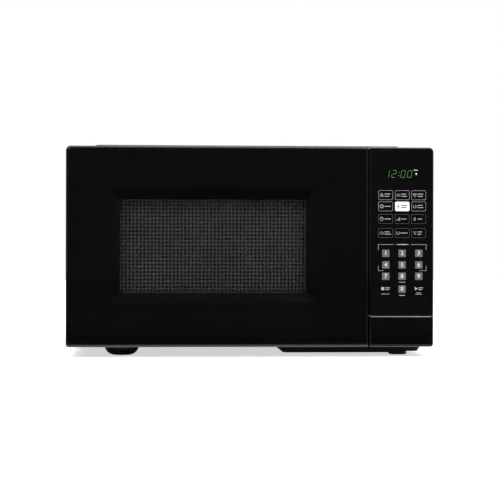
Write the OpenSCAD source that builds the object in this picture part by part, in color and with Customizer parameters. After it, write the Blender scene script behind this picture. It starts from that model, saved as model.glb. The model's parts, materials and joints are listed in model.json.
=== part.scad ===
// Countertop microwave oven with a push-button door, a keypad and a turntable.
// Millimetres. X runs to the right, Y to the rear, Z up. The origin is on the
// table, under the middle of the bounding box.

/* [Front] */
// Width over the door and the control panel
front_w = 485; // [470:1:510]
// Height of the door and the control panel
front_h = 264; // [262:1:280]
// Height of the front's lower edge above the table
foot_h = 13.5; // [12:0.5:18]
// Width of the control panel
panel_w = 85.2; // [82:0.2:88]
// Gap between the door and the control panel
door_gap = 1.5; // [1:0.1:2.5]
// Depth of the door from front to back
door_t = 34; // [33:0.5:38]
// Gap between the closed door and the front plate
seal_gap = 1.5; // [1.2:0.1:2.5]
// Radius of the front's upper corners
top_corner_r = 6.5; // [3:0.5:10]
// Radius of the front's lower corners
low_corner_r = 4; // [2:0.5:8]
// Bevel round the front faces
edge_bevel = 1.2; // [0.6:0.1:2]
// Wall of the plastic mouldings
skin = 2.5; // [2:0.1:3]

/* [Door window] */
// Width of the bevelled window well at the door's face
well_w = 272.2; // [240:1:290]
// Height of the bevelled window well at the door's face
well_h = 152; // [120:1:160]
// From the door's left edge to the well
well_left = 57.2; // [50:0.5:60]
// From the door's lower edge to the well
well_up = 58.1; // [50:0.5:64]
// Depth of the window well
well_d = 6; // [4:0.5:7]
// Width of the well's left and right bevels
bevel_side = 13.5; // [8:0.5:18]
// Width of the well's top bevel
bevel_top = 16; // [8:0.5:20]
// Width of the well's bottom bevel
bevel_low = 13; // [8:0.5:18]
// Radius of the window's corners
window_r = 3; // [1:0.5:6]
// Thickness of the outer window pane
pane_t = 2; // [1.5:0.1:3]
// Thickness of the inner glass
inner_glass_t = 3; // [2:0.5:4]
// Thickness of the perforated screen
screen_t = 0.6; // [0.4:0.1:1]

/* [Oven cavity] */
// Clear width of the cavity
cavity_w = 314; // [300:1:318]
// Clear height of the cavity
cavity_h = 214; // [200:1:218]
// Clear depth of the cavity
cavity_d = 348; // [330:1:370]
// From the door's left edge to the cavity
cavity_in = 28.5; // [27:0.5:32]
// From the front's lower edge to the cavity floor
cavity_up = 24.5; // [24:0.5:27]
// Thickness of the steel sheet
sheet = 1; // [0.8:0.1:1.2]

/* [Cabinet] */
// How far the cover lies inside the front's outline
cover_in = 1.5; // [1:0.1:2.5]
// How far the cover's top lies under the front's top
cover_drop = 1; // [0.5:0.1:2]
// Radius of the cover's upper edges
cover_r = 5; // [3:0.5:8]
// Rise of the raised field on the cover
field_rise = 5.8; // [3:0.2:7]
// Margin between the cover's edge and the raised field
field_in = 30; // [28:1:45]
// Length of the rear spacers
spacer_d = 15.5; // [10:0.5:25]
// Diameter of a foot under the base
foot_d = 46; // [36:1:50]
// Diameter of a foot on the table
foot_flat_d = 20; // [16:1:26]
// Depth of the pan pressed into the base
pan_d = 10.4; // [6:0.2:11]
// Width of the pan
pan_w = 187; // [160:1:195]
// Length of a vent slot
slot_l = 22; // [16:1:28]
// Width of a vent slot
slot_w = 3; // [2:0.5:4]

/* [Hinges and latch] */
// From the door's left edge to the hinge axis
hinge_in = 8.5; // [8:0.5:10]
// From the front plate to the hinge axis
hinge_out = 12; // [12:0.5:14]
// Radius of the hinge pins
pin_r = 2.4; // [2:0.1:2.6]
// Running clearance of pins and shafts in their bores
run = 0.06; // [0.03:0.01:0.1]
// Clearance between parts that slide or swing
gap = 0.4; // [0.3:0.05:0.5]
// Thickness of the hinge plates
hinge_t = 2.5; // [2:0.1:3]
// Drop of the door latch from open to locked
latch_drop = 4; // [3:0.5:4.5]
// Height of the lower hook's shank over the front's lower edge
low_hook_up = 32.5; // [31:0.5:36]
// Distance between the two hooks
hook_pitch = 152; // [140:1:160]
// Travel of the release button
button_travel = 4.5; // [4:0.1:5]
// Height of the release button's face
button_h = 38.3; // [34:0.5:39]

/* [Turntable] */
// Diameter of the glass tray
tray_d = 270; // [245:1:285]
// Thickness of the glass
tray_t = 5; // [4:0.5:6]
// Diameter of a roller
roller_d = 15; // [13:0.5:17]
// Radius of the circle that the rollers run on
roller_track_r = 100; // [90:1:108]
// Diameter of the turntable motor
table_motor_d = 50; // [44:1:54]

/* [Power parts] */
// Diameter of the cooling fan
fan_d = 100; // [90:1:106]
// Width of the magnetron
magnetron_w = 92; // [80:1:96]
// Number of cooling fins
fins = 9; // [6:1:11]
// Width of the transformer core
core_w = 72; // [66:1:76]

/* [Hidden] */

$fn = 48;
eps = 0.01;
// the least gap between two neighbours that do not touch
seat = 0.3;

// outline of the front
x0 = -front_w / 2;
x1 = front_w / 2;
z0 = foot_h;
z1 = foot_h + front_h;
panel_x0 = x1 - panel_w;
door_x1 = panel_x0 - door_gap;

// depth, from the door's face to the rear spacers
cabinet_d = cavity_d + 3 * sheet;
total_d = door_t + seal_gap + cabinet_d + spacer_d;
y_front = -total_d / 2;
y_door = y_front + door_t;
y_plate = y_door + seal_gap;
y_in = y_plate + sheet;
y_rear = y_plate + cabinet_d;
y_rear_in = y_rear - sheet;

// cavity
cav_x0 = x0 + cavity_in;
cav_x1 = cav_x0 + cavity_w;
cav_z0 = z0 + cavity_up;
cav_z1 = cav_z0 + cavity_h;
wall_x = cav_x1 + sheet;
roof_z = cav_z1 + sheet;
table_x = (cav_x0 + cav_x1) / 2;
table_y = y_in + cavity_d / 2;

// cabinet shell
cov_x0 = x0 + cover_in;
cov_x1 = x1 - cover_in;
cov_z = z1 - cover_drop;
base_z = z0 + sheet;
base_top = base_z + sheet;
in_x0 = cov_x0 + sheet;
in_x1 = cov_x1 - sheet;
in_z1 = cov_z - sheet;
pan_z = z0 - pan_d;
pan_floor = pan_z + sheet;
pan_slope = 10;
pan_rim = pan_slope + sheet + 0.5;
winding_out = 4.5;
core_l = 96;
core_h = 62;
core_x = wall_x + winding_out + 1;
core_y = y_in + 74;
pan_x1 = in_x1 - 16;
pan_x0 = pan_x1 - pan_w;
pan_y0 = y_in + 4;
pan_y1 = core_y + core_l + pan_rim + 8;

// feet
foot_x = in_x1 - 36;
foot_left = in_x0 + 70;
foot_y0 = y_in + 25;
foot_y1 = y_rear - 34;

// door
axis_x = x0 + hinge_in;
axis_y = y_plate - hinge_out;
corner_clear_r = hinge_out - 2 * gap;
well_x0 = x0 + well_left;
well_x1 = well_x0 + well_w;
well_z0 = z0 + well_up;
well_z1 = well_z0 + well_h;
win_x0 = well_x0 + bevel_side;
win_x1 = well_x1 - bevel_side;
win_z0 = well_z0 + bevel_low;
win_z1 = well_z1 - bevel_top;
lip_y = y_front + well_d + 2;
pane_margin = 8;
panel_y = y_door - 17;
choke_out = 16;
choke_in = 2;
choke_x0 = cav_x0 - choke_out;
choke_x1 = cav_x1 + choke_out;
choke_z0 = cav_z0 - choke_out;
choke_z1 = cav_z1 + choke_out;
trim_t = skin;
choke_y = y_door - trim_t;
tab_r = hinge_in - 4.8;
tab_z1 = choke_z1 - 7.7;
tab_z0 = choke_z0 + 7.7;
hinge_gap = seat;

// latch
latch_x = choke_x1 + 2;
latch_y = choke_y - 10.5;
latch_t = 3;
latch_plate_w = 22;
shank_w = 6;
shank_h = 9;
nose_w = 12;
nose_l = 7;
low_z = z0 + low_hook_up;
high_z = low_z + hook_pitch;
hook_zs = [low_z, high_z];
shank_x = latch_x + nose_w / 2;
ledge_t = 11;
nose_y = y_in + skin + ledge_t + 1;
lug_w = 6;
web_x0 = latch_x - 1;
web_x1 = latch_x + nose_w + lug_w + 2;
slot_low = latch_drop + gap;
slot_top = shank_h + gap + 0.6;
block_top = 18;
post_r = 3;
post_x = latch_x + 17;
post_zs = [low_z + 44, high_z - 24];
spring_x = latch_x + latch_plate_w + 6;
peg_z = low_z + 66;
arm_z = low_z + 96;

// latch board and lever
board_x0 = latch_x - 4;
board_x1 = latch_x + 34;
lever_x = latch_x + nose_w + 0.6;
lever_y = y_in + 6;
lever_z = low_z - 12;
lever_r = 2.5;
lever_arm = 12;
tip_r = 2;
lever_foot_x = panel_x0 + 9;
foot_arm_w = 6;

// switches
switch_w = 6.2;
switch_l = 20;
switch_h = 10;
plunger_rise = 4;

// control panel
button_x0 = panel_x0 + 1.6 + gap;
button_x1 = x1 - 1.6 - gap;
button_z0 = z0 + 2.2;
button_z1 = button_z0 + button_h;
sill_z = button_z1 + 0.8;
button_deep = 12;
key_in = 3.6;
overlay_t = 0.5;
board_y = y_front + 12;
board_t = 1.6;
display_w = 50;
display_h = 20;
display_x = panel_x0 + 21;
display_z = z1 - 46;

// turntable
tray_z = cav_z0 + roller_d + 2 * seat;
roller_w = 7;
axle_r = 1.5;
roller_z = cav_z0 + seat + roller_d / 2;
coupler_r = 15;
lug_r = 3.2;
lug_h = 4.5;
shaft_r = 3;

// power parts
guide_w = 30;
guide_x1 = wall_x + guide_w;
mag_y = table_y + 10;
mag_z = cav_z1 - 34;
mag_h = 74;
mag_t = 44;
guide_z0 = mag_z - 78;
guide_z1 = mag_z + 26;
guide_l = magnetron_w - 8;
fan_x = (wall_x + in_x1) / 2;
fan_z = cav_z1 - 50;
fan_hub_y = y_rear_in - 52;
shroud_d = 58;

// ---------------------------------------------------------------- helpers

// A box between two corners.
module box(a, b) translate(a) cube(b - a);

// A rod along X, Y or Z that starts at p.
module rod_x(p, r, l) translate(p) rotate([0, 90, 0]) cylinder(r = r, h = l);
module rod_y(p, r, l) translate(p) rotate([-90, 0, 0]) cylinder(r = r, h = l);
module rod_z(p, r, l) translate(p) cylinder(r = r, h = l);

// Corner points of a rectangle with its own radius at each corner, counter-clockwise
// from the lower left.
function arc_pts(cx, cz, r, from, n = 8) =
    [for (i = [0:n]) [cx + r * cos(from + 90 * i / n), cz + r * sin(from + 90 * i / n)]];
function outline(a0, a1, b0, b1, r) = concat(
    arc_pts(a0 + r[0], b0 + r[0], r[0], 180), arc_pts(a1 - r[1], b0 + r[1], r[1], 270),
    arc_pts(a1 - r[2], b1 - r[2], r[2], 0), arc_pts(a0 + r[3], b1 - r[3], r[3], 90));

// An upright plate in the XZ plane from y = a to y = b, with rounded corners.
module slab(xa, xb, za, zb, a, b, r) translate([0, b, 0]) rotate([90, 0, 0])
    linear_extrude(b - a) polygon(outline(xa, xb, za, zb, r));

// A moulded front block whose face is bevelled all round.
module front_block(xa, xb, za, zb, back, r) hull() {
    slab(xa, xb, za, zb, y_front + edge_bevel, back, r);
    slab(xa + edge_bevel, xb - edge_bevel, za + edge_bevel, zb - edge_bevel,
        y_front, y_front + eps, [for (v = r) max(v - edge_bevel, 0.3)]);
}

// A vent slot with round ends, l long and slot_w wide, that cuts through along Z.
module slot_hole(l, deep) {
    for (s = [-1, 1]) translate([s * (l - slot_w) / 2, 0, -deep / 2])
        cylinder(d = slot_w, h = deep, $fn = 12);
    translate([-(l - slot_w) / 2, -slot_w / 2, -deep / 2]) cube([l - slot_w, slot_w, deep]);
}

// A shallow tray shape pressed from a sheet: wide at z = top, narrower at z = bottom.
module pressing(xa, xb, ya, yb, top, bottom, slope, r) hull() {
    translate([0, 0, top]) linear_extrude(eps) polygon(outline(xa, xb, ya, yb, [r, r, r, r]));
    translate([0, 0, bottom]) linear_extrude(eps)
        polygon(outline(xa + slope, xb - slope, ya + slope, yb - slope, [r, r, r, r]));
}

// A round wire wound into a helix along Z from z = 0 to z = l.
module coil(r, wire_r, l, turns) {
    sides = 8;
    steps = 12;
    n = turns * steps;
    ring = [for (i = [0:n], j = [0:sides - 1])
        let (a = 360 * i / steps, b = 360 * j / sides, q = r + wire_r * cos(b))
        [q * cos(a), q * sin(a), wire_r + (l - 2 * wire_r) * i / n + wire_r * sin(b)]];
    walls = [for (i = [0:n - 1], j = [0:sides - 1])
        let (a = i * sides + j, b = i * sides + (j + 1) % sides)
        [a, a + sides, b + sides, b]];
    first = [for (j = [0:sides - 1]) j];
    last = [for (j = [sides - 1:-1:0]) n * sides + j];
    polyhedron(ring, concat(walls, [first, last]));
}

// A pan-head screw along +Y whose head lies behind the plane y = 0.
module screw_y(p, l) translate(p) rotate([90, 0, 0]) {
    translate([0, 0, -2.2]) cylinder(r1 = 2.6, r2 = 3.6, h = 2.2, $fn = 24);
    cylinder(r = 1.7, h = l, $fn = 24);
}

// ---------------------------------------------------------------- cabinet

// Half profile of the wrap: an upside-down U with rounded upper edges.
module cover_profile(inset) {
    r = cover_r - inset;
    low = base_z - inset;
    polygon(concat([[cov_x0 + inset, low], [cov_x1 - inset, low]],
        arc_pts(cov_x1 - cover_r, cov_z - cover_r, r, 0),
        arc_pts(cov_x0 + cover_r, cov_z - cover_r, r, 90)));
}

field_x0 = cov_x0 + field_in;
field_x1 = cov_x1 - field_in;
field_y0 = y_plate + 22;
field_y1 = y_rear - 40;

// The steel wrap: top, two sides and the lips that the rear screws hold.
module outer_cover() color("#1a1b1d") {
    lip = 12;
    difference() {
        union() {
            difference() {
                translate([0, y_rear + sheet, 0]) rotate([90, 0, 0])
                    linear_extrude(y_rear + sheet - y_plate) cover_profile(0);
                translate([0, y_rear, 0]) rotate([90, 0, 0])
                    linear_extrude(y_rear - y_plate + 1) cover_profile(sheet);
                box([cov_x0 + lip, y_rear - 1, base_z - 1], [cov_x1 - lip, y_rear + 2, cov_z - lip]);
            }
            pressing(field_x0, field_x1, field_y0, field_y1, cov_z - sheet, cov_z + field_rise, 5, 12);
        }
        pressing(field_x0 + sheet, field_x1 - sheet, field_y0 + sheet, field_y1 - sheet,
            cov_z - sheet - eps, cov_z + field_rise - sheet, 5, 12);
        cover_slots();
        for (p = cover_screw_spots) rod_y([p[0], y_rear - 1, p[1]], 2, 4);
    }
}

// Vent slots in both sides of the wrap.
module cover_slots() {
    pitch = slot_w * 2.5;
    for (row = [0, 1], i = [0:11])
        translate([cov_x1, y_in + 60 + i * pitch, cov_z - 60 - row * (slot_l + 6)])
            rotate([0, 90, 0]) slot_hole(slot_l, 4 * cover_r);
    for (row = [0, 1], i = [0:9])
        translate([cov_x0, y_rear - 60 - i * pitch, cov_z - 55 - row * (slot_l + 6)])
            rotate([0, 90, 0]) slot_hole(slot_l, 4 * cover_r);
}

cover_screw_spots = [[cov_x0 + 6, z0 + 40], [cov_x0 + 6, cov_z - 60], [table_x, cov_z - 6],
    [cov_x1 - 6, z0 + 40], [cov_x1 - 6, cov_z - 60]];

// The screws that hold the wrap's lips to the rear panel.
module cover_screws() color("silver")
    for (p = cover_screw_spots) screw_y([p[0], y_rear + sheet, p[1]], sheet * 2);

// The bottom sheet with its pressed pan, side flanges, vents and foot holes.
module base_plate() color("#8d9094") difference() {
    union() {
        box([in_x0, y_in, base_z], [in_x1, y_rear_in, base_top]);
        for (s = [0, 1]) box([s ? in_x1 - sheet : in_x0, y_in, base_z],
            [s ? in_x1 : in_x0 + sheet, y_rear_in, base_z + 14]);
        pressing(pan_x0, pan_x1, pan_y0, pan_y1, base_top, pan_z, pan_slope, 8);
        pressing(pan_x1 - 20, step_x1, pan_y0, pan_y1, base_top, pan_z + 2, 6, 6);
    }
    pressing(pan_x0 + sheet, pan_x1 - sheet, pan_y0 + sheet, pan_y1 - sheet,
        base_top + eps, pan_floor, pan_slope, 8);
    pressing(pan_x1 - 20 + sheet, step_x1 - sheet, pan_y0 + sheet, pan_y1 - sheet,
        base_top + eps, pan_floor + 2, 6, 6);
    for (p = foot_spots) rod_z([p[0], p[1], p[2] - 1], foot_stem_r + seat, 3);
    for (i = [0:15], row = [0, 1])
        translate([table_x - 100 + i * slot_w * 2.5, y_rear - 60 - row * (slot_l + 8), base_z])
            rotate([0, 0, 90]) slot_hole(slot_l, 6);
}
step_x1 = in_x1 - 5;

foot_stem_r = 4;
stud_r = 12.5;
// Each foot's place, the underside that it stands under and its radius at the top.
foot_spots = [[foot_left, foot_y0, base_z, foot_d / 2], [foot_left, foot_y1, base_z, foot_d / 2],
    [foot_x, foot_y1, base_z, foot_d / 2], [foot_x, pan_y0 + pan_slope + stud_r + 1, pan_z, stud_r]];

// The feet, each pushed through its hole and held by a head inside: three domes and, under
// the pan, a low stud.
module feet() color("#141414") for (p = foot_spots) translate([p[0], p[1], 0]) {
    r_low = foot_flat_d / 2;
    top = p[2];
    rotate_extrude() polygon(concat([[0, 0], [r_low, 0]],
        [for (i = [1:8]) [r_low + (p[3] - r_low) * sin(90 * i / 8), (top - 1.5) * (1 - cos(90 * i / 8))]],
        [[p[3], top], [0, top]]));
    cylinder(r = foot_stem_r, h = top + sheet + 0.2);
    translate([0, 0, top + sheet]) cylinder(r1 = foot_stem_r + 1.6, r2 = foot_stem_r - 1, h = 3);
}

// The frame round the cavity mouth, which also carries the hinges.
module front_plate() color("#3a3c3f") difference() {
    box([in_x0, y_plate, base_z], [web_x0, y_in, in_z1]);
    box([cav_x0, y_plate - 1, cav_z0], [cav_x1, y_in + 1, cav_z1]);
    for (z = [tab_z0, tab_z1]) hinge_slot(z);
    corner_cut(cover_r);
}

// The plate across the front of the equipment bay, behind the control panel.
module bay_plate() color("#3a3c3f") difference() {
    box([web_x1, y_plate, base_z], [in_x1, y_in, in_z1]);
    box([panel_x0 + 12, y_plate - 1, lever_z + 26], [x1 - 12, y_in + 1, z1 - 16]);
    box([lever_foot_x - 3, y_plate - 1, z0 + 4], [lever_foot_x + foot_arm_w + 3, y_in + 1, lever_z + 8]);
    corner_cut(cover_r);
}

// The welded webs that join the two plates above, between and below the hooks' openings.
module latch_webs() color("#3a3c3f") {
    lows = [base_z, hook_zs[0] + slot_top, hook_zs[1] + slot_top];
    highs = [hook_zs[0] - slot_low, hook_zs[1] - slot_low, in_z1];
    for (i = [0:2]) box([web_x0, y_plate, lows[i]], [web_x1, y_in, highs[i]]);
}

// Removes what would stand outside the wrap's rounded upper edges.
module corner_cut(r) for (s = [-1, 1]) {
    cx = s * (cov_x1 - r);
    difference() {
        box([s > 0 ? cx : cx - r - 1, y_plate - 1, cov_z - r],
            [s > 0 ? cx + r + 1 : cx, y_rear + 1, cov_z + 1]);
        rod_y([cx, y_plate - 2, cov_z - r], r - sheet - 0.1, y_rear - y_plate + 4);
    }
}

// Openings in the latch board for the door's hooks, one above the other.
module hook_slots() for (z = hook_zs)
    box([web_x0, y_in - 1, z - slot_low], [web_x1, y_in + skin + 1, z + block_top - 1]);

// Slot for one hinge plate's tongue.
module hinge_slot(z) box([axis_x - tab_r - gap, y_plate - 1, z - gap],
    [axis_x + tab_r + gap, y_in + 1, z + hinge_t + gap]);

lamp_y = y_in + 70;
lamp_z = cav_z1 - 46;
win_guide_z = guide_z0 + 24;
guide_mouth = 34;

// The welded oven box: walls, roller track, shaft hole and the openings for air, light
// and microwaves.
module cavity() color("#b9b9b2") difference() {
    union() {
        box([cav_x0 - sheet, y_in, cav_z0 - sheet], [wall_x, y_rear_in, roof_z]);
        translate([table_x, table_y, cav_z0 - sheet - 1]) cylinder(r = roller_track_r + 10, h = 1.5);
    }
    difference() {
        box([cav_x0, y_in - 1, cav_z0], [cav_x1, y_rear_in - sheet, cav_z1]);
        translate([table_x, table_y, cav_z0 - 1]) cylinder(r = roller_track_r - 12, h = 1 + eps);
    }
    translate([table_x, table_y, cav_z0 - sheet - 2]) cylinder(r = 6, h = 6);
    translate([wall_x - 3, mag_y - guide_l / 2 + 6, win_guide_z])
        cube([6, guide_l - 12, guide_mouth]);
    for (i = [0:5], j = [0:5])
        translate([wall_x - 3, lamp_y - 12.5 + i * 5, lamp_z - 12.5 + j * 5])
            rotate([0, 90, 0]) cylinder(d = 3, h = 6, $fn = 6);
    for (i = [0:9], j = [0:5])
        translate([cav_x0 - 3, y_in + 60 + i * 6, cav_z1 - 50 + j * 5])
            rotate([0, 90, 0]) cylinder(d = 3.2, h = 6, $fn = 6);
}

gland_x = in_x1 - 34;
gland_z = z0 + 52;
gland_r = 8;

// The back of the cabinet with the fan's grille and the cord's hole.
module rear_panel() color("#9a9da0") difference() {
    box([in_x0, y_rear_in, base_z], [in_x1, y_rear, in_z1]);
    corner_cut(cover_r);
    for (ring = [1:3], k = [0:5 + 4 * ring])
        rotate_about_fan(k * 360 / (6 + 4 * ring))
            translate([fan_x + ring * 12.5 + 2, y_rear, fan_z]) rotate([90, 90, 0]) slot_hole(9, 6);
    rod_y([gland_x, y_rear - 3, gland_z], gland_r, 6);
    for (p = cover_screw_spots) rod_y([p[0], y_rear - 3, p[1]], 1.75, 6);
    for (p = spacer_spots) rod_y([p[0], y_rear - 3, p[1]], 3.3, 6);
}

module rotate_about_fan(a) translate([fan_x, 0, fan_z]) rotate([0, a, 0])
    translate([-fan_x, 0, -fan_z]) children();

spacer_spots = [[in_x0 + 60, cov_z - 50], [in_x0 + 60, z0 + 50], [in_x1 - 100, z0 + 50]];

// Hollow plastic bumpers that keep the back away from a wall.
module rear_spacers() color("#161616") for (p = spacer_spots) translate([p[0], y_rear, p[1]])
    rotate([-90, 0, 0]) {
        difference() {
            cylinder(r1 = 11, r2 = 8, h = spacer_d);
            translate([0, 0, 3]) cylinder(r = 5.5, h = spacer_d);
        }
        translate([0, 0, -sheet + 0.1]) cylinder(r = 3, h = sheet);
    }

// The rubber ring that lines the cord's hole. The cord itself is not part of the model.
module cord_grommet() color("#111111") translate([gland_x, y_rear - sheet / 2, gland_z])
    rotate([-90, 0, 0]) difference() {
        union() {
            translate([0, 0, -sheet / 2 - 2]) cylinder(r = gland_r + 2.5, h = 2);
            translate([0, 0, -sheet / 2 - eps]) cylinder(r = gland_r - 0.05, h = sheet + 2 * eps);
            translate([0, 0, sheet / 2]) cylinder(r = gland_r + 2.5, h = 2.5);
        }
        translate([0, 0, -10]) cylinder(r = gland_r - 3.5, h = 20);
    }

// ---------------------------------------------------------------- microwave source

// The duct that leads from the magnetron to the cavity's side wall.
module waveguide() color("silver") difference() {
    box([wall_x, mag_y - guide_l / 2, guide_z0], [guide_x1, mag_y + guide_l / 2, guide_z1]);
    box([wall_x - 1, mag_y - guide_l / 2 + sheet, guide_z0 + sheet],
        [guide_x1 - sheet, mag_y + guide_l / 2 - sheet, guide_z1 - sheet]);
    rod_x([guide_x1 - 3, mag_y, mag_z], 13, 6);
}

// The mica sheet that covers the opening inside the cavity.
module waveguide_cover() color("#c9b98f")
    box([cav_x1 - 0.6, mag_y - guide_l / 2, win_guide_z - 8],
        [cav_x1, mag_y + guide_l / 2, win_guide_z + guide_mouth + 8]);

mag_x1 = guide_x1 + mag_t;

// The magnetron's steel frame: two plates joined by two sides.
module magnetron_yoke() color("#b8bcc0") difference() {
    box([guide_x1, mag_y - magnetron_w / 2, mag_z - mag_h / 2],
        [mag_x1, mag_y + magnetron_w / 2, mag_z + mag_h / 2]);
    box([guide_x1 + 2, mag_y - magnetron_w / 2 - 1, mag_z - mag_h / 2 + 1.5],
        [mag_x1 - 2, mag_y + magnetron_w / 2 + 1, mag_z + mag_h / 2 - 1.5]);
    rod_x([guide_x1 - 1, mag_y, mag_z], 12, 5);
    rod_x([mag_x1 - 3, mag_y, mag_z], 12, 5);
}

// The copper anode with two ring magnets and the aluminium fins pressed onto it.
module magnetron_anode() color("#c8cacc") {
    inner = mag_t - 4;
    x = guide_x1 + 2;
    magnet = 8;
    rod_x([x, mag_y, mag_z], 18, inner);
    for (a = [0, inner - magnet]) rod_x([x + a, mag_y, mag_z], 27, magnet);
    pitch = (inner - 2 * magnet) / (fins + 1);
    for (i = [1:fins])
        box([x + magnet + i * pitch - 0.4, mag_y - magnetron_w / 2 + 3, mag_z - mag_h / 2 + 1.5],
            [x + magnet + i * pitch + 0.4, mag_y + magnetron_w / 2 - 3, mag_z + mag_h / 2 - 1.5]);
}

// The antenna that reaches into the waveguide, with its ceramic collar.
module magnetron_antenna() color("white") {
    rod_x([guide_x1 - 9, mag_y, mag_z], 9, 11);
    rod_x([guide_x1 - 22, mag_y, mag_z], 7, 13 + eps);
}

// The shielding box over the filament's choke coils, with its connector.
module magnetron_filter_box() color("#a9adb1") {
    box([mag_x1, mag_y - 26, mag_z - 26], [mag_x1 + 28, mag_y + 26, mag_z + 26]);
    box([mag_x1 + 8, mag_y - 10, mag_z - 36], [mag_x1 + 20, mag_y + 10, mag_z - 26]);
}

// The high-voltage transformer's laminated core, an E and an I, on its foot plate.
module transformer_core() color("#77797c") {
    window_l = core_l / 2 - 8 - core_leg / 2;
    difference() {
        box([core_x, core_y, pan_floor], [core_x + core_w, core_y + core_l, pan_floor + core_h]);
        for (y = [core_y + 8, core_y + core_l - 8 - window_l])
            box([core_x - 1, y, pan_floor + 10],
                [core_x + core_w + 1, y + window_l, pan_floor + core_h - 10]);
    }
}
core_leg = 28;

// Two copper windings round the core's middle leg, the thick one below the fine one.
module transformer_windings() color("#a8673a") {
    mid = core_y + core_l / 2;
    low = pan_floor + 10;
    high = pan_floor + core_h - 10;
    half = (high - low) / 2;
    reach = core_l / 2 - 8 - core_leg / 2;
    for (s = [0, 1]) difference() {
        slab_z(core_x - winding_out, core_x + core_w + winding_out,
            mid - core_leg / 2 - reach + seat, mid + core_leg / 2 + reach - seat,
            low + s * half + (s ? 0.5 : 0), low + half + s * half - (s ? 0 : 0.5), 8);
        box([core_x, mid - core_leg / 2, low - 1], [core_x + core_w, mid + core_leg / 2, high + 1]);
    }
}

// A level plate with rounded corners from z = a to z = b.
module slab_z(xa, xb, ya, yb, a, b, r) translate([0, 0, a]) linear_extrude(b - a)
    polygon(outline(xa, xb, ya, yb, [r, r, r, r]));

cap_x = in_x1 - 12;
cap_y = pan_y1 + 6;
cap_w = 36;
cap_l = 54;
cap_h = 88;
strap_w = 12;

// The oval high-voltage capacitor, standing on the base, with its two terminals.
module hv_capacitor() color("#aeb2b6") {
    slab_z(cap_x - cap_w, cap_x, cap_y, cap_y + cap_l, cap_floor, cap_floor + cap_h, cap_w / 2 - 0.5);
    for (s = [-1, 1]) rod_z([cap_x - cap_w / 2, cap_y + cap_l / 2 + s * 12, cap_floor + cap_h], 4, 8);
}
cap_floor = base_top;

// The strap that ties the capacitor down to the base.
module capacitor_strap() color("#8f9296") difference() {
    union() {
        slab_z(cap_x - cap_w - 1.5, cap_x + 1.5, cap_y - 1.5, cap_y + cap_l + 1.5,
            cap_floor + cap_h / 2 - 4, cap_floor + cap_h / 2 - 4 + strap_w, cap_w / 2 + 1);
        box([cap_x - cap_w - 3, cap_y + (cap_l - strap_w) / 2, base_top],
            [cap_x - cap_w - 1, cap_y + (cap_l + strap_w) / 2, cap_floor + cap_h / 2 - 4 + strap_w]);
    }
    slab_z(cap_x - cap_w, cap_x, cap_y, cap_y + cap_l, base_z, cap_floor + cap_h + 1, cap_w / 2 - 0.5);
}

// The diode that lies on the strap's foot, beside the capacitor.
module hv_diode() color("#202124") {
    rod_y([cap_x - cap_w - 12, cap_y + 8, base_top + 4], 4, 24);
    rod_y([cap_x - cap_w - 12, cap_y + 4, base_top + 4], 1, 32);
}

// ---------------------------------------------------------------- cooling fan

// The ring that guides the air, with a flange on the rear panel and an inlet bell.
module fan_shroud() color("#2b2d30") {
    r = fan_d / 2 + 3;
    y = y_rear_in - shroud_d;
    difference() {
        union() {
            rod_y([fan_x, y, fan_z], r + 2, shroud_d);
            box([fan_x - r - 4, y, fan_z - r - 4], [fan_x + r + 4, y + 2, fan_z + r + 4]);
            for (s = [-1, 1], t = [-1, 1]) rod_y([fan_x + s * (r - 8), y, fan_z + t * (r - 8)], 5, shroud_d);
        }
        rod_y([fan_x, y - 1, fan_z], r, shroud_d + 2);
    }
}

// The shaded-pole motor: core, coil, bearing cups, shaft and the bracket's two legs.
module fan_motor() color("#8a6a3f") {
    y = y_rear_in - 30;
    box([fan_x - 22, y, fan_z - 18], [fan_x + 22, y + 16, fan_z + 34]);
    box([fan_x - 16, y - 5, fan_z - 34], [fan_x + 16, y + 21, fan_z - 18]);
    box([fan_x - 22, y + 4, fan_z - 40], [fan_x + 22, y + 12, fan_z - 30]);
    for (s = [-1, 1]) rod_y([fan_x + s * 18, y + 12, fan_z + 30], 3, y_rear_in - y - 12);
    for (s = [-1, 1]) rod_y([fan_x + s * 18, y + 10, fan_z - 35], 3, y_rear_in - y - 10);
    rod_y([fan_x, y - 6, fan_z], 11, 7);
    rod_y([fan_x, fan_hub_y + 4, fan_z], 2, y - fan_hub_y - 4);
}

// The moulded fan: a cup-shaped hub with raked blades.
module fan_blade() color("#d8d8d2") translate([fan_x, fan_hub_y, fan_z]) rotate([-90, 0, 0]) {
    blades = 7;
    hub_r = 13;
    depth = 13;
    difference() {
        cylinder(r = hub_r, h = depth);
        translate([0, 0, -1]) cylinder(r = 2 + run, h = depth + 2);
        translate([0, 0, depth - 5]) difference() {
            cylinder(r = hub_r - 2, h = 6);
            translate([0, 0, -1]) cylinder(r = 5, h = 8);
        }
    }
    for (i = [0:blades - 1]) rotate([0, 0, i * 360 / blades]) intersection() {
        translate([hub_r - 1, 0, depth / 2]) rotate([32, 0, 0])
            translate([0, -18, -0.8]) cube([fan_d / 2 - hub_r + 3, 36, 1.6]);
        cylinder(r = fan_d / 2, h = depth);
        rotate([0, 0, -24]) cube([fan_d, fan_d, depth]);
    }
}

// ---------------------------------------------------------------- small electrics

filter_y = y_rear_in - 8;
filter_w = 44;
filter_h = 66;

// The mains filter: a small board on two posts, with its choke and fuse.
module filter_board() color("#3f6b46") {
    xa = wall_x + 8;
    za = z0 + 44;
    box([xa, filter_y - 1.6, za], [xa + filter_w, filter_y, za + filter_h]);
    for (x = [xa + 6, xa + filter_w - 6], z = [za + 6, za + filter_h - 6])
        rod_y([x, filter_y - eps, z], 3, y_rear_in - filter_y + eps);
    rod_y([xa + 22, filter_y - 15, za + 42], 13, 14);
    rod_z([xa + 34, filter_y - 5.5, za + 6], 3, 22);
}

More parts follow.
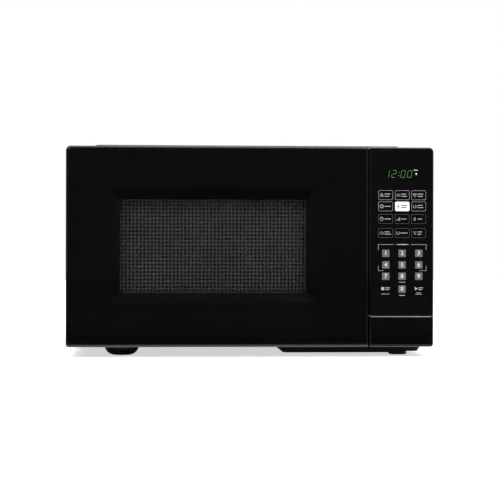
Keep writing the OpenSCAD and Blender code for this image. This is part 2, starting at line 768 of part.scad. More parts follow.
// The lamp's bulb and screw base.
module oven_lamp() color("#e9e4c9") {
    x = wall_x + 14;
    translate([x, lamp_y, lamp_z]) sphere(r = 10);
    rod_y([x, lamp_y + 8, lamp_z], 6.5, 16);
}

// The socket and the bracket that screws to the cavity wall.
module lamp_holder() color("#cfcfc8") difference() {
    union() {
        rod_y([wall_x + 14, lamp_y + 14, lamp_z], 9.5, 20);
        box([wall_x, lamp_y + 16, lamp_z - 9], [wall_x + 14, lamp_y + 32, lamp_z + 9]);
    }
    rod_y([wall_x + 14, lamp_y + 7, lamp_z], 6.5, 17);
}

// The thermal cut-outs: one on the cavity's roof and one on the magnetron.
module thermal_cutouts() color("#34363a") {
    translate([cav_x1 - 40, table_y, roof_z]) {
        cylinder(r = 8, h = 6);
        translate([-12, -4, 0]) cube([24, 8, 1.2]);
    }
    translate([guide_x1 + mag_t / 2, mag_y, mag_z + mag_h / 2]) {
        cylinder(r = 8, h = 6);
        translate([-12, -4, 0]) cube([24, 8, 1.2]);
    }
}

// ---------------------------------------------------------------- turntable

motor_h = 16;

// The flat geared motor under the cavity floor, with its two ears.
module turntable_motor() color("#b0b3b6") translate([table_x, table_y, cav_z0 - sheet - 1]) {
    translate([0, 0, -motor_h]) cylinder(r = table_motor_d / 2, h = motor_h);
    for (s = [-1, 1]) difference() {
        slab_z(s > 0 ? 0 : -table_motor_d / 2 - 9, s > 0 ? table_motor_d / 2 + 9 : 0, -5, 5, -1.5, 0, 4);
        translate([s * (table_motor_d / 2 + 4.5), 0, -3]) cylinder(r = 2, h = 5, $fn = 24);
    }
    cylinder(r = shaft_r, h = 5);
}

// The three-armed plastic piece on the motor's shaft that turns the tray.
module drive_coupler() color("#e8e4da") translate([table_x, table_y, cav_z0 + 2]) {
    h = tray_z - seat - cav_z0 - 2;
    difference() {
        union() {
            cylinder(r = 7, h = h);
            for (i = [0:2]) rotate([0, 0, i * 120]) slab_z(0, coupler_r, -2.5, 2.5, h - 6, h, 2);
        }
        translate([0, 0, -1]) cylinder(r = shaft_r + run, h = 4.2);
    }
}

// The ring that keeps the rollers apart, with a hub plate round the coupler.
module roller_ring() color("#efece4") translate([table_x, table_y, roller_z]) {
    ring_r = roller_track_r - roller_w / 2 - 2.5;
    rotate([0, 0, 60]) difference() {
        translate([0, 0, -2]) cylinder(r = ring_r, h = 4, $fn = 96);
        translate([0, 0, -3]) cylinder(r = ring_r - 5, h = 6, $fn = 96);
    }
    difference() {
        union() {
            rotate([0, 0, 60]) translate([0, 0, -2]) cylinder(r = coupler_r + 5, h = 4);
            for (i = [0:2]) rotate([0, 0, i * 120]) translate([coupler_r + 2, -3, -1.7])
                cube([ring_r - coupler_r - 4, 6, 3.4]);
        }
        rotate([0, 0, 60]) translate([0, 0, -3]) cylinder(r = coupler_r + 1, h = 6);
    }
    for (i = [0:2]) rotate([0, 0, i * 120]) {
        rod_x([ring_r - 2, 0, 0], axle_r, roller_w + 6);
        rod_x([ring_r + 0.5 + roller_w + 2.4, 0, 0], axle_r + 1, 1.6);
    }
}

// One roller, turning on its axle at the given angle round the ring.
module roller(a) translate([table_x, table_y, roller_z]) rotate([0, 0, a])
    translate([roller_track_r - roller_w / 2, 0, 0]) rotate([0, 90, 0]) difference() {
        cylinder(d = roller_d, h = roller_w);
        translate([0, 0, -1]) cylinder(r = axle_r + run, h = roller_w + 2);
        for (z = [-1, roller_w - 1.2]) translate([0, 0, z]) difference() {
            cylinder(d = roller_d - 3, h = 2.2);
            cylinder(r = axle_r + 1.6, h = 2.2);
        }
    }
module roller_1() color("#dcdad2") roller(0);
module roller_2() color("#dcdad2") roller(120);
module roller_3() color("#dcdad2") roller(240);

// The glass tray: a dished plate with a raised rim.
module glass_tray() color("#bcd6d6", 0.5) translate([table_x, table_y, tray_z]) {
    r = tray_d / 2;
    rise = 6;
    rotate_extrude($fn = 96) polygon([[0, 0], [r - 22, 0], [r - 6, rise], [r, rise + 2],
        [r, rise + tray_t], [r - 7, rise + tray_t], [r - 23, tray_t], [0, tray_t]]);
}

// The three lugs under the tray's middle, which stand between the coupler's arms.
module tray_lugs() color("#bcd6d6", 0.5) translate([table_x, table_y, tray_z])
    for (i = [0:2]) rotate([0, 0, 60 + i * 120]) translate([coupler_r - 4.5, 0, -lug_h])
        cylinder(r = lug_r, h = lug_h, $fn = 24);

// ---------------------------------------------------------------- door

// Cuts the door's rear left edge back to an arc about the hinge axis.
module swing_cut() difference() {
    box([x0 - 1, axis_y, z0 - 1], [axis_x, y_door + 1, z1 + 1]);
    rod_z([axis_x, axis_y, z0 - 2], corner_clear_r, front_h + 4);
}

// Room for a hinge plate's tongue as the door turns round it.
module tongue_room(z)
    box([x0 - 1, axis_y - tab_r - 6, z - gap], [axis_x + tab_r + gap / 2, y_door + 1, z + hinge_t + gap]);

door_posts = [for (x = [well_x0 - 30, table_x, well_x1 + 10], z = [well_z0 - 12, well_z1 + 14]) [x, z]];

// The glossy front moulding: bevelled face, window well, side walls and posts.
module door_frame() color("#141519") difference() {
    union() {
        difference() {
            front_block(x0, door_x1, z0, z1, y_door, [low_corner_r, 1.5, 1.5, top_corner_r]);
            box([x0 + skin, y_front + skin, z0 + skin], [door_x1 - skin, y_door + 1, z1 - skin]);
        }
        hull() {
            slab(well_x0 - 3, well_x1 + 3, well_z0 - 3, well_z1 + 3, y_front + 1.5, y_front + skin + eps,
                [window_r, window_r, window_r, window_r]);
            slab(win_x0 - 3, win_x1 + 3, win_z0 - 3, win_z1 + 3, lip_y - 1, lip_y,
                [window_r, window_r, window_r, window_r]);
        }
        for (p = door_posts) rod_y([p[0], y_front + 2, p[1]], 4, panel_y - y_front - 2);
        for (z = post_zs) rod_y([post_x, y_front + 2, z], post_r, latch_y + latch_t + 2 - y_front);
        rod_y([spring_x, y_front + 2, peg_z], 2.5, latch_y + 6 - y_front);
    }
    hull() {
        slab(well_x0, well_x1, well_z0, well_z1, y_front - 0.02, y_front,
            [window_r, window_r, window_r, window_r]);
        slab(win_x0, win_x1, win_z0, win_z1, y_front + well_d, y_front + well_d + eps,
            [window_r, window_r, window_r, window_r]);
    }
    slab(win_x0, win_x1, win_z0, win_z1, y_front + well_d - 1, lip_y + 1,
        [window_r, window_r, window_r, window_r]);
    swing_cut();
    for (z = [tab_z0, tab_z1]) tongue_room(z);
}

// The clear outer pane behind the well's lip.
module door_window() color("#0c0d10", 0.6)
    slab(win_x0 - pane_margin, win_x1 + pane_margin, win_z0 - pane_margin, win_z1 + pane_margin,
        lip_y, lip_y + pane_t, [2, 2, 2, 2]);

// The pressed steel panel: a window frame, the choke's two walls and the hinge ears.
module door_panel() color("#9b9ea1") difference() {
    union() {
        box([choke_x0, panel_y, choke_z0], [choke_x1, panel_y + sheet, choke_z1]);
        choke_wall(choke_x0, choke_x1, choke_z0, choke_z1);
        choke_wall(cav_x0 + choke_in, cav_x1 - choke_in, cav_z0 + choke_in, cav_z1 - choke_in);
        for (z = [tab_z0 + hinge_t + hinge_gap, tab_z1 - hinge_t - hinge_gap]) {
            rod_z([axis_x, axis_y, z], tab_r + 1.3, hinge_t);
            box([axis_x, axis_y - tab_r - 1.3, z], [choke_x0 + eps, axis_y + tab_r + 1.3, z + hinge_t]);
        }
    }
    box([win_x0 - 5, panel_y - 1, win_z0 - 5], [win_x1 + 5, panel_y + 2, win_z1 + 5]);
    choke_teeth();
    rod_z([axis_x, axis_y, z0], pin_r + run, front_h);
}

// A rectangular wall of the choke that stands back from the panel.
module choke_wall(xa, xb, za, zb) difference() {
    box([xa, panel_y, za], [xb, choke_y, zb]);
    box([xa + sheet, panel_y - 1, za + sheet], [xb - sheet, choke_y + 1, zb - sheet]);
}

// The slots that cut the choke's outer wall into teeth.
module choke_teeth() {
    pitch = 14;
    width = 3;
    ya = panel_y + 4;
    nx = floor((choke_x1 - choke_x0 - 24) / pitch);
    nz = floor((choke_z1 - choke_z0 - 48) / pitch);
    mx = (choke_x0 + choke_x1 - (nx - 1) * pitch) / 2;
    mz = (choke_z0 + choke_z1 - (nz - 1) * pitch) / 2;
    for (z = [choke_z0, choke_z1], i = [0:nx - 1])
        box([mx + i * pitch - width / 2, ya, z - 2], [mx + i * pitch + width / 2, choke_y + 1, z + 2]);
    for (x = [choke_x0, choke_x1], i = [0:nz - 1])
        box([x - 2, ya, mz + i * pitch - width / 2], [x + 2, choke_y + 1, mz + i * pitch + width / 2]);
}

// The perforated sheet that lets light through and keeps microwaves in.
module door_screen() color("#3c3f42")
    box([win_x0 - 9, panel_y + sheet, win_z0 - 9], [win_x1 + 9, panel_y + sheet + screen_t, win_z1 + 9]);

// The glass on the cavity's side of the door.
module inner_window() color("#1a1c1f", 0.5)
    box([cav_x0 + choke_in + sheet + seat, choke_y - inner_glass_t, cav_z0 + choke_in + sheet + seat],
        [cav_x1 - choke_in - sheet - seat, choke_y, cav_z1 - choke_in - sheet - seat]);

// The plastic trim that closes the back of the door over the choke.
module choke_cover() color("#1c1d20") difference() {
    box([x0 + skin + seat, choke_y, z0 + skin + seat], [door_x1 - skin - seat, y_door, z1 - skin - seat]);
    box([cav_x0 + choke_in + 7, choke_y - 1, cav_z0 + choke_in + 7],
        [cav_x1 - choke_in - 7, y_door + 1, cav_z1 - choke_in - 7]);
    for (i = [0, 1]) box([latch_x - gap, choke_y - 1, hook_zs[i] - 2 * latch_drop - gap],
        [latch_x + nose_w + gap + (i == 0 ? lug_w : 0), y_door + 1, hook_zs[i] + shank_h + gap]);
    swing_cut();
    for (z = [tab_z0, tab_z1]) tongue_room(z);
}

// The sliding latch plate with its two hooks, shown lifted clear of the ledges.
module door_latch() color("#d9d7cf") difference() {
    union() {
        box([latch_x, latch_y, low_z - 6], [latch_x + latch_plate_w, latch_y + latch_t, high_z + 24]);
        box([latch_x + latch_plate_w - 1, latch_y, arm_z], [spring_x + 4, latch_y + latch_t, arm_z + 4]);
        for (i = [0, 1]) hook(hook_zs[i], i == 0 ? lug_w : 0);
    }
    for (z = post_zs) {
        w = post_r + seat;
        box([post_x - w, latch_y - 1, z - w], [post_x + w, latch_y + latch_t + 1, z + w + latch_drop]);
    }
}

// One hook: a shank to the rear with a nose that drops behind the ledge.
module hook(z, lug) {
    box([shank_x - shank_w / 2, latch_y, z], [shank_x + shank_w / 2, nose_y + nose_l, z + shank_h]);
    low = z - latch_drop;
    translate([latch_x, 0, 0]) rotate([90, 0, 90]) linear_extrude(nose_w + lug) polygon([
        [nose_y, low], [nose_y + nose_l - 2, low], [nose_y + nose_l, low + 4],
        [nose_y + nose_l, z + shank_h], [nose_y, z + shank_h]]);
}

// The tension spring that pulls the latch down.
module latch_spring() color("silver")
    translate([spring_x, latch_y + latch_t / 2, peg_z + 2.5 + seat])
        coil(3, 0.5, arm_z - peg_z - 2.5 - 2 * seat, 10);

// A steel tongue with its riveted pin, and the flange behind the front plate.
module hinge(z, up) {
    box([axis_x - tab_r, axis_y, z], [axis_x + tab_r, y_in + 2, z + hinge_t]);
    rod_z([axis_x, axis_y, z], tab_r, hinge_t);
    pin_l = hinge_t + hinge_gap + 2;
    rod_z([axis_x, axis_y, up ? z + hinge_t - eps : z - pin_l + eps], pin_r, pin_l);
    box([in_x0 + sheet + 1, y_in, z - 7], [cav_x0 - 2 * sheet, y_in + 2, z + 7 + hinge_t]);
}
module upper_hinge() color("#8f9296") hinge(tab_z1, false);
module lower_hinge() color("#8f9296") hinge(tab_z0, true);

// ---------------------------------------------------------------- latch board

// Mouldings behind the front plate: hook ledges, switch trays and lever bearings.
module latch_board() color("#e3e1d8") difference() {
    union() {
        box([board_x0, y_in, lever_z - 8], [board_x1, y_in + skin, high_z + 26]);
        for (z = hook_zs) {
            box([latch_x, y_in, z - slot_low - 10],
                [latch_x + nose_w, y_in + skin + ledge_t, z - slot_low]);
        }
        switch_tray(low_z);
        switch_tray(high_z);
        box([board_x0, y_in, high_z - 32], [latch_x - gap, nose_y + switch_l + 2, high_z + block_top]);
        box([board_x0, y_in, low_z - 28], [latch_x - gap, nose_y + switch_l + 2, low_z + block_top]);
        for (x = bearing_xs) box([x, y_in, lever_z - 6], [x + 3, lever_y + 5, lever_z + 6]);
    }
    hook_slots();
    rod_x([lever_x - 0.6, lever_y, lever_z], lever_r + run, board_x1 - lever_x + 2);
}
bearing_xs = [lever_x + 8, board_x1 - 3];

// The shelf under a hook's switches.
module switch_tray(z) box([latch_x - gap - eps, nose_y + 1, z - latch_drop - plunger_rise - switch_h - 4.6],
    [latch_x + nose_w, nose_y + switch_l, z - latch_drop - plunger_rise - switch_h - 2.6]);

// Where the three switches lie: [x, z of the tray's upper face].
function tray_top(z) = z - latch_drop - plunger_rise - switch_h - 2.6;
switch_spots = [[latch_x, tray_top(low_z)], [latch_x, tray_top(high_z)],
    [latch_x + switch_w + seat, tray_top(high_z)]];

// The three interlock switches that the hooks close.
module interlock_switches() color("#1b1b1b") for (p = switch_spots) difference() {
    box([p[0], nose_y + 1, p[1]], [p[0] + switch_w, nose_y + 1 + switch_l, p[1] + switch_h]);
    rod_z([p[0] + switch_w / 2, nose_y + 4, p[1] + switch_h - 4], 1.3 + run, 5);
}

// The switches' plungers, which the falling noses press down together.
module switch_plungers() color("#c23b2b") for (p = switch_spots)
    rod_z([p[0] + switch_w / 2, nose_y + 4, p[1] + switch_h - 2.4], 1.3, plunger_rise + 1.4);

// The bell crank that turns the button's push into the latch's lift.
module release_lever() color("#d8d5cc") {
    rod_x([lever_x, lever_y, lever_z], lever_r, lever_foot_x + foot_arm_w - lever_x);
    arm_w = 5;
    // lifting arm, to the rear under the lower hook's lug
    hull() {
        rod_x([lever_x, lever_y, lever_z], lever_r, arm_w);
        rod_x([lever_x, lever_y + lever_arm, tip_z - tip_r], tip_r, arm_w);
    }
    // pushed arm, down beside the button's rib
    hull() {
        rod_x([lever_foot_x, lever_y, lever_z], lever_r, foot_arm_w);
        rod_x([lever_foot_x, lever_y, lever_z - lever_arm], tip_r, foot_arm_w);
    }
}
tip_z = low_z - 2 * latch_drop - gap;

// ---------------------------------------------------------------- control panel

panel_posts = [for (x = [panel_x0 + 11, x1 - 11], z = [sill_z + 22, z1 - 14]) [x, z]];

// The moulding that carries the keypad, the board and the button.
module control_panel() color("#17181b") difference() {
    union() {
        difference() {
            front_block(panel_x0, x1, z0, z1, y_plate, [1.5, low_corner_r, top_corner_r, 1.5]);
            box([panel_x0 + 1.6, y_front + skin, z0 + 1.4], [x1 - 1.6, y_plate + 1, z1 - 1.6]);
        }
        for (p = panel_posts) rod_y([p[0], y_front + 1, p[1]], 3, board_y - y_front - 1);
        for (x = [panel_x0 + 1, x1 - 4.6])
            box([x, y_front + button_deep + button_travel + 0.2, z0 + 1], [x + 3.6, y_plate, sill_z - 2]);
    }
    box([button_x0 - gap, y_front - 1, z0 + 1.4], [button_x1 + gap, y_front + skin + 1, sill_z]);
    slab(panel_x0 + key_in, x1 - key_in, sill_z + 3, z1 - key_in, y_front - 1,
        y_front + overlay_t, [2, 2, 3, 2]);
    box([display_x, y_front - 1, display_z],
        [display_x + display_w, y_front + skin + 1, display_z + display_h]);
}

// The printed keypad sheet that also covers the display.
module keypad_overlay() color("#1b1c20")
    slab(panel_x0 + key_in + 0.1, x1 - key_in - 0.1, sill_z + 3.1, z1 - key_in - 0.1,
        y_front, y_front + overlay_t, [2, 2, 3, 2]);

// The clock display on the board, behind the sheet's clear patch.
module display_module() color("#0d120e")
    box([display_x + seat, y_front + overlay_t + seat, display_z + seat],
        [display_x + display_w - seat, board_y, display_z + display_h - seat]);

// The circuit board on the panel's posts.
module control_board() color("#2f6b3c")
    box([panel_x0 + 6, board_y, sill_z + 16], [x1 - 6, board_y + board_t, z1 - 8]);

// Relays, transformer and buzzer on the back of the board.
module board_parts() color("#2f4b7c") {
    y = board_y + board_t;
    for (z = [sill_z + 24, sill_z + 48]) box([panel_x0 + 14, y, z], [panel_x0 + 34, y + 15, z + 16]);
    box([x1 - 42, y, sill_z + 24], [x1 - 14, y + 19, sill_z + 56]);
    rod_y([x1 - 26, y, z1 - 34], 11, 8);
}

rib_y = lever_y - tip_r - gap;

// The wide release button: face, skirt, spring pin, stop and the rib that works the lever.
module release_button() color("#17181b") {
    deep = button_deep;
    difference() {
        union() {
            hull() {
                box([button_x0, y_front + 0.8, button_z0], [button_x1, y_front + deep, button_z1]);
                box([button_x0 + 0.8, y_front, button_z0 + 0.8],
                    [button_x1 - 0.8, y_front + 1, button_z1 - 0.8]);
            }
            box([button_x0 + 6, y_front + skin + gap, button_z1 - 1],
                [button_x1 - 6, y_front + deep, sill_z + 4]);
        }
        box([button_x0 + 2, y_front + skin, button_z0 + 2],
            [button_x1 - 2, y_front + deep + 1, button_z1 - 2]);
    }
    rod_y([spring_bx, y_front + 2, spring_bz], 3, 16);
    box([lever_foot_x, y_front + 2, lever_z - lever_arm - 3.5],
        [lever_foot_x + foot_arm_w, rib_y, lever_z - lever_arm]);
}
spring_bx = panel_x0 + 52;
spring_bz = (button_z0 + button_z1) / 2;

// The compression spring between the button and the front plate.
module button_spring() color("silver")
    translate([spring_bx, y_front + skin + 0.1, spring_bz]) rotate([-90, 0, 0])
        coil(4.4, 0.5, y_plate - y_front - skin - 0.2, 9);

outer_cover();
base_plate();
feet();
front_plate();
bay_plate();
latch_webs();
cavity();
rear_panel();
rear_spacers();
cover_screws();
waveguide();
waveguide_cover();
magnetron_yoke();
magnetron_anode();
magnetron_antenna();
magnetron_filter_box();
transformer_core();
transformer_windings();
hv_capacitor();
capacitor_strap();
hv_diode();
fan_shroud();
fan_motor();
fan_blade();
filter_board();
oven_lamp();
lamp_holder();
thermal_cutouts();
cord_grommet();
turntable_motor();
drive_coupler();
roller_ring();
roller_1();
roller_2();
roller_3();
glass_tray();
tray_lugs();
door_frame();
door_window();
door_panel();
door_screen();
inner_window();
choke_cover();
door_latch();
latch_spring();
upper_hinge();
lower_hinge();
control_panel();
keypad_overlay();
display_module();
control_board();
board_parts();
release_button();
button_spring();
release_lever();
latch_board();
interlock_switches();
switch_plungers();
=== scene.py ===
"""Looks of the microwave oven: its finishes, door screen, printed keypad, fasteners and studio."""

import json
import logging
import math
from dataclasses import dataclass, field, replace
from enum import Enum
from typing import Callable, ClassVar, Dict, List, Optional, Sequence, Tuple, Union

import bmesh
import bpy
from mathutils import Matrix, Vector


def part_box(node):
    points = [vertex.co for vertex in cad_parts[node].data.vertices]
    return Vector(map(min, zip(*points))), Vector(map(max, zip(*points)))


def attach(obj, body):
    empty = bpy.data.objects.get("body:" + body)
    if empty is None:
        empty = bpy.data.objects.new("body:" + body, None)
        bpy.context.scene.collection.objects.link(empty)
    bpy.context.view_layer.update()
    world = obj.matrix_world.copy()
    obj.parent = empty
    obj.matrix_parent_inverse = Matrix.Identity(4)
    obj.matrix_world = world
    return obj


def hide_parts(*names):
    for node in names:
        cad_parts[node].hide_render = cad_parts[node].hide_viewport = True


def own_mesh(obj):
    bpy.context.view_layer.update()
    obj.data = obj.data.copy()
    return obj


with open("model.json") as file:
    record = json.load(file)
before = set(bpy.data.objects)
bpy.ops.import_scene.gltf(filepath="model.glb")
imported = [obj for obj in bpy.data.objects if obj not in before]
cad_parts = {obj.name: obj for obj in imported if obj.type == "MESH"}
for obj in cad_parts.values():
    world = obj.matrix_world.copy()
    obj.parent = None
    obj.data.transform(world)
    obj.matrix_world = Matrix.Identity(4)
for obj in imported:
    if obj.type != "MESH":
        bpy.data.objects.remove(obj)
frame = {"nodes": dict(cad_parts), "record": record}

LOG = logging.getLogger("oven")
MM = 0.001
Colour = Tuple[float, float, float, float]
Point = Tuple[float, float, float]


def linear(tone: str) -> Colour:
    """Turn a six-digit sRGB tone into the linear colour that sockets take.

    Args:
        tone: The tone as six hexadecimal digits.

    Returns:
        Red, green, blue and an opaque alpha.
    """
    parts = [int(tone[i:i + 2], 16) / 255 for i in (0, 2, 4)]
    red, green, blue = (p / 12.92 if p <= 0.04045 else ((p + 0.055) / 1.055) ** 2.4 for p in parts)
    return red, green, blue, 1.0


def box_mm(node: str) -> Tuple[Vector, Vector]:
    """A CAD node's lowest and highest corner in millimetres."""
    low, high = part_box(node)
    return low / MM, high / MM


# ---- shader benches


@dataclass(frozen=True)
class Field:
    """A shader socket that can be used in Python sums.

    Attributes:
        bench: The bench that owns the socket's node.
        socket: The output socket that carries the value.
    """

    bench: "Bench"
    socket: bpy.types.NodeSocket

    def __add__(self, other: "Value") -> "Field":
        """Sum of two values."""
        return self.bench.sum("ADD", self, other)

    def __radd__(self, other: "Value") -> "Field":
        """Sum, with the number on the left."""
        return self.bench.sum("ADD", other, self)

    def __sub__(self, other: "Value") -> "Field":
        """Difference of two values."""
        return self.bench.sum("SUBTRACT", self, other)

    def __rsub__(self, other: "Value") -> "Field":
        """Difference, with the number on the left."""
        return self.bench.sum("SUBTRACT", other, self)

    def __mul__(self, other: "Value") -> "Field":
        """Product of two values."""
        return self.bench.sum("MULTIPLY", self, other)

    def __rmul__(self, other: "Value") -> "Field":
        """Product, with the number on the left."""
        return self.bench.sum("MULTIPLY", other, self)

    def __pow__(self, other: "Value") -> "Field":
        """Power of a value."""
        return self.bench.sum("POWER", self, other)

    def below(self, level: float) -> "Field":
        """One where the value stays under a level, else nought."""
        return self.bench.sum("LESS_THAN", self, level)

    def between(self, low: float, high: float) -> "Field":
        """One between two places in millimetres, else nought."""
        return self.below(high * MM) - self.below(low * MM)

    def kept(self) -> "Field":
        """The value, held between nought and one."""
        return self.bench.sum("ADD", self, 0.0, clamp=True)

    def axes(self) -> Tuple["Field", ...]:
        """The three axes of a place or a direction."""
        split = self.bench.node("ShaderNodeSeparateXYZ", None, {0: self})
        return tuple(Field(self.bench, output) for output in split.outputs)


Value = Union[float, Field]


class Bench:
    """The node tree of one material or world, and the one place where its nodes are made."""

    def __init__(self, tree: bpy.types.NodeTree) -> None:
        """Empty a material's or a world's tree, ready for its nodes."""
        self.tree = tree
        tree.nodes.clear()

    def node(self, kind: str, settings: Optional[Dict[str, object]] = None,
             inputs: Optional[Dict[object, object]] = None) -> bpy.types.Node:
        """Make one node.

        Args:
            kind: The node's type.
            settings: Its attributes, set first.
            inputs: Its sockets, by name or number, with numbers, colours or links.

        Returns:
            The finished node.
        """
        made = self.tree.nodes.new(kind)
        for name, value in (settings or {}).items():
            setattr(made, name, value)
        for name, value in (inputs or {}).items():
            if isinstance(value, Field):
                value = value.socket
            if isinstance(value, bpy.types.NodeSocket):
                self.tree.links.new(value, made.inputs[name])
            else:
                made.inputs[name].default_value = value
        return made

    def field(self, kind: str, output: object, settings: Optional[Dict[str, object]] = None,
              inputs: Optional[Dict[object, object]] = None) -> Field:
        """Make one node and take one of its outputs, by name or number, as a value for sums."""
        return Field(self, self.node(kind, settings, inputs).outputs[output])

    def sum(self, operation: str, left: Value, right: Value, clamp: bool = False) -> Field:
        """Make one Math node."""
        settings = {"operation": operation, "use_clamp": clamp}
        return self.field("ShaderNodeMath", 0, settings, {0: left, 1: right})

    def ray(self, kind: str) -> Field:
        """One for rays of a kind, such as Camera or Glossy, else nought."""
        return self.field("ShaderNodeLightPath", f"Is {kind} Ray")

    def finish(self, kind: str, shader: bpy.types.Node) -> None:
        """Join a shader to the output that ends the tree."""
        self.node(kind, None, {"Surface": shader.outputs[0]})

    def blend(self, share: Value, under: object, over: object) -> Field:
        """Mix two colours or links, by the share of the upper one that shows."""
        return self.field("ShaderNodeMix", 2, {"data_type": "RGBA"}, {0: share, 6: under, 7: over})


# ---- finishes


class Grain(Enum):
    """The make of a surface, which settles its fine pattern."""

    GLOSS = "polished moulding"
    MOULDED = "spark-grained moulding"
    ENAMEL = "baked enamel"
    SPANGLE = "zinc-coated sheet"
    BRUSHED = "drawn metal"
    LAMINATED = "stacked iron sheets"
    WOUND = "varnished wire turns"
    BOARD = "circuit board"
    GLAZED = "fired ceramic"
    CLEAR = "glass"
    FLAKED = "pressed mica"
    PRINTED = "screen-printed ink"
    LIT = "lit segment"


Maps = Tuple[Field, Field, Field]


@dataclass(frozen=True)
class Finish:
    """How one surface looks.

    Attributes:
        name: The finish's name, which is the record's slot for a CAD node.
        tone: Six-digit sRGB tone.
        roughness: Mean roughness.
        grain: The make of the surface.
        metallic: One for bare metal.
        cell: Size of the pattern in millimetres.
        relief: Depth of the pattern in millimetres.
        mottle: How far the tone wanders.
        alpha: Share of light that the surface stops.
        edge: Radius of the softened edges in millimetres, or nought.
        painted_highlight: Lowest and highest point of a painted highlight across the front, a light
            silver-grey band in the colour, in millimetres, or nothing.
        crisp: Left, low, right and high side of a field whose edges stay sharp, or nothing.
    """

    name: str
    tone: str
    roughness: float
    grain: Grain
    metallic: float = 0.0
    cell: float = 1.0
    relief: float = 0.01
    mottle: float = 0.15
    alpha: float = 1.0
    edge: float = 0.0
    painted_highlight: Tuple[float, ...] = ()
    crisp: Tuple[float, ...] = ()


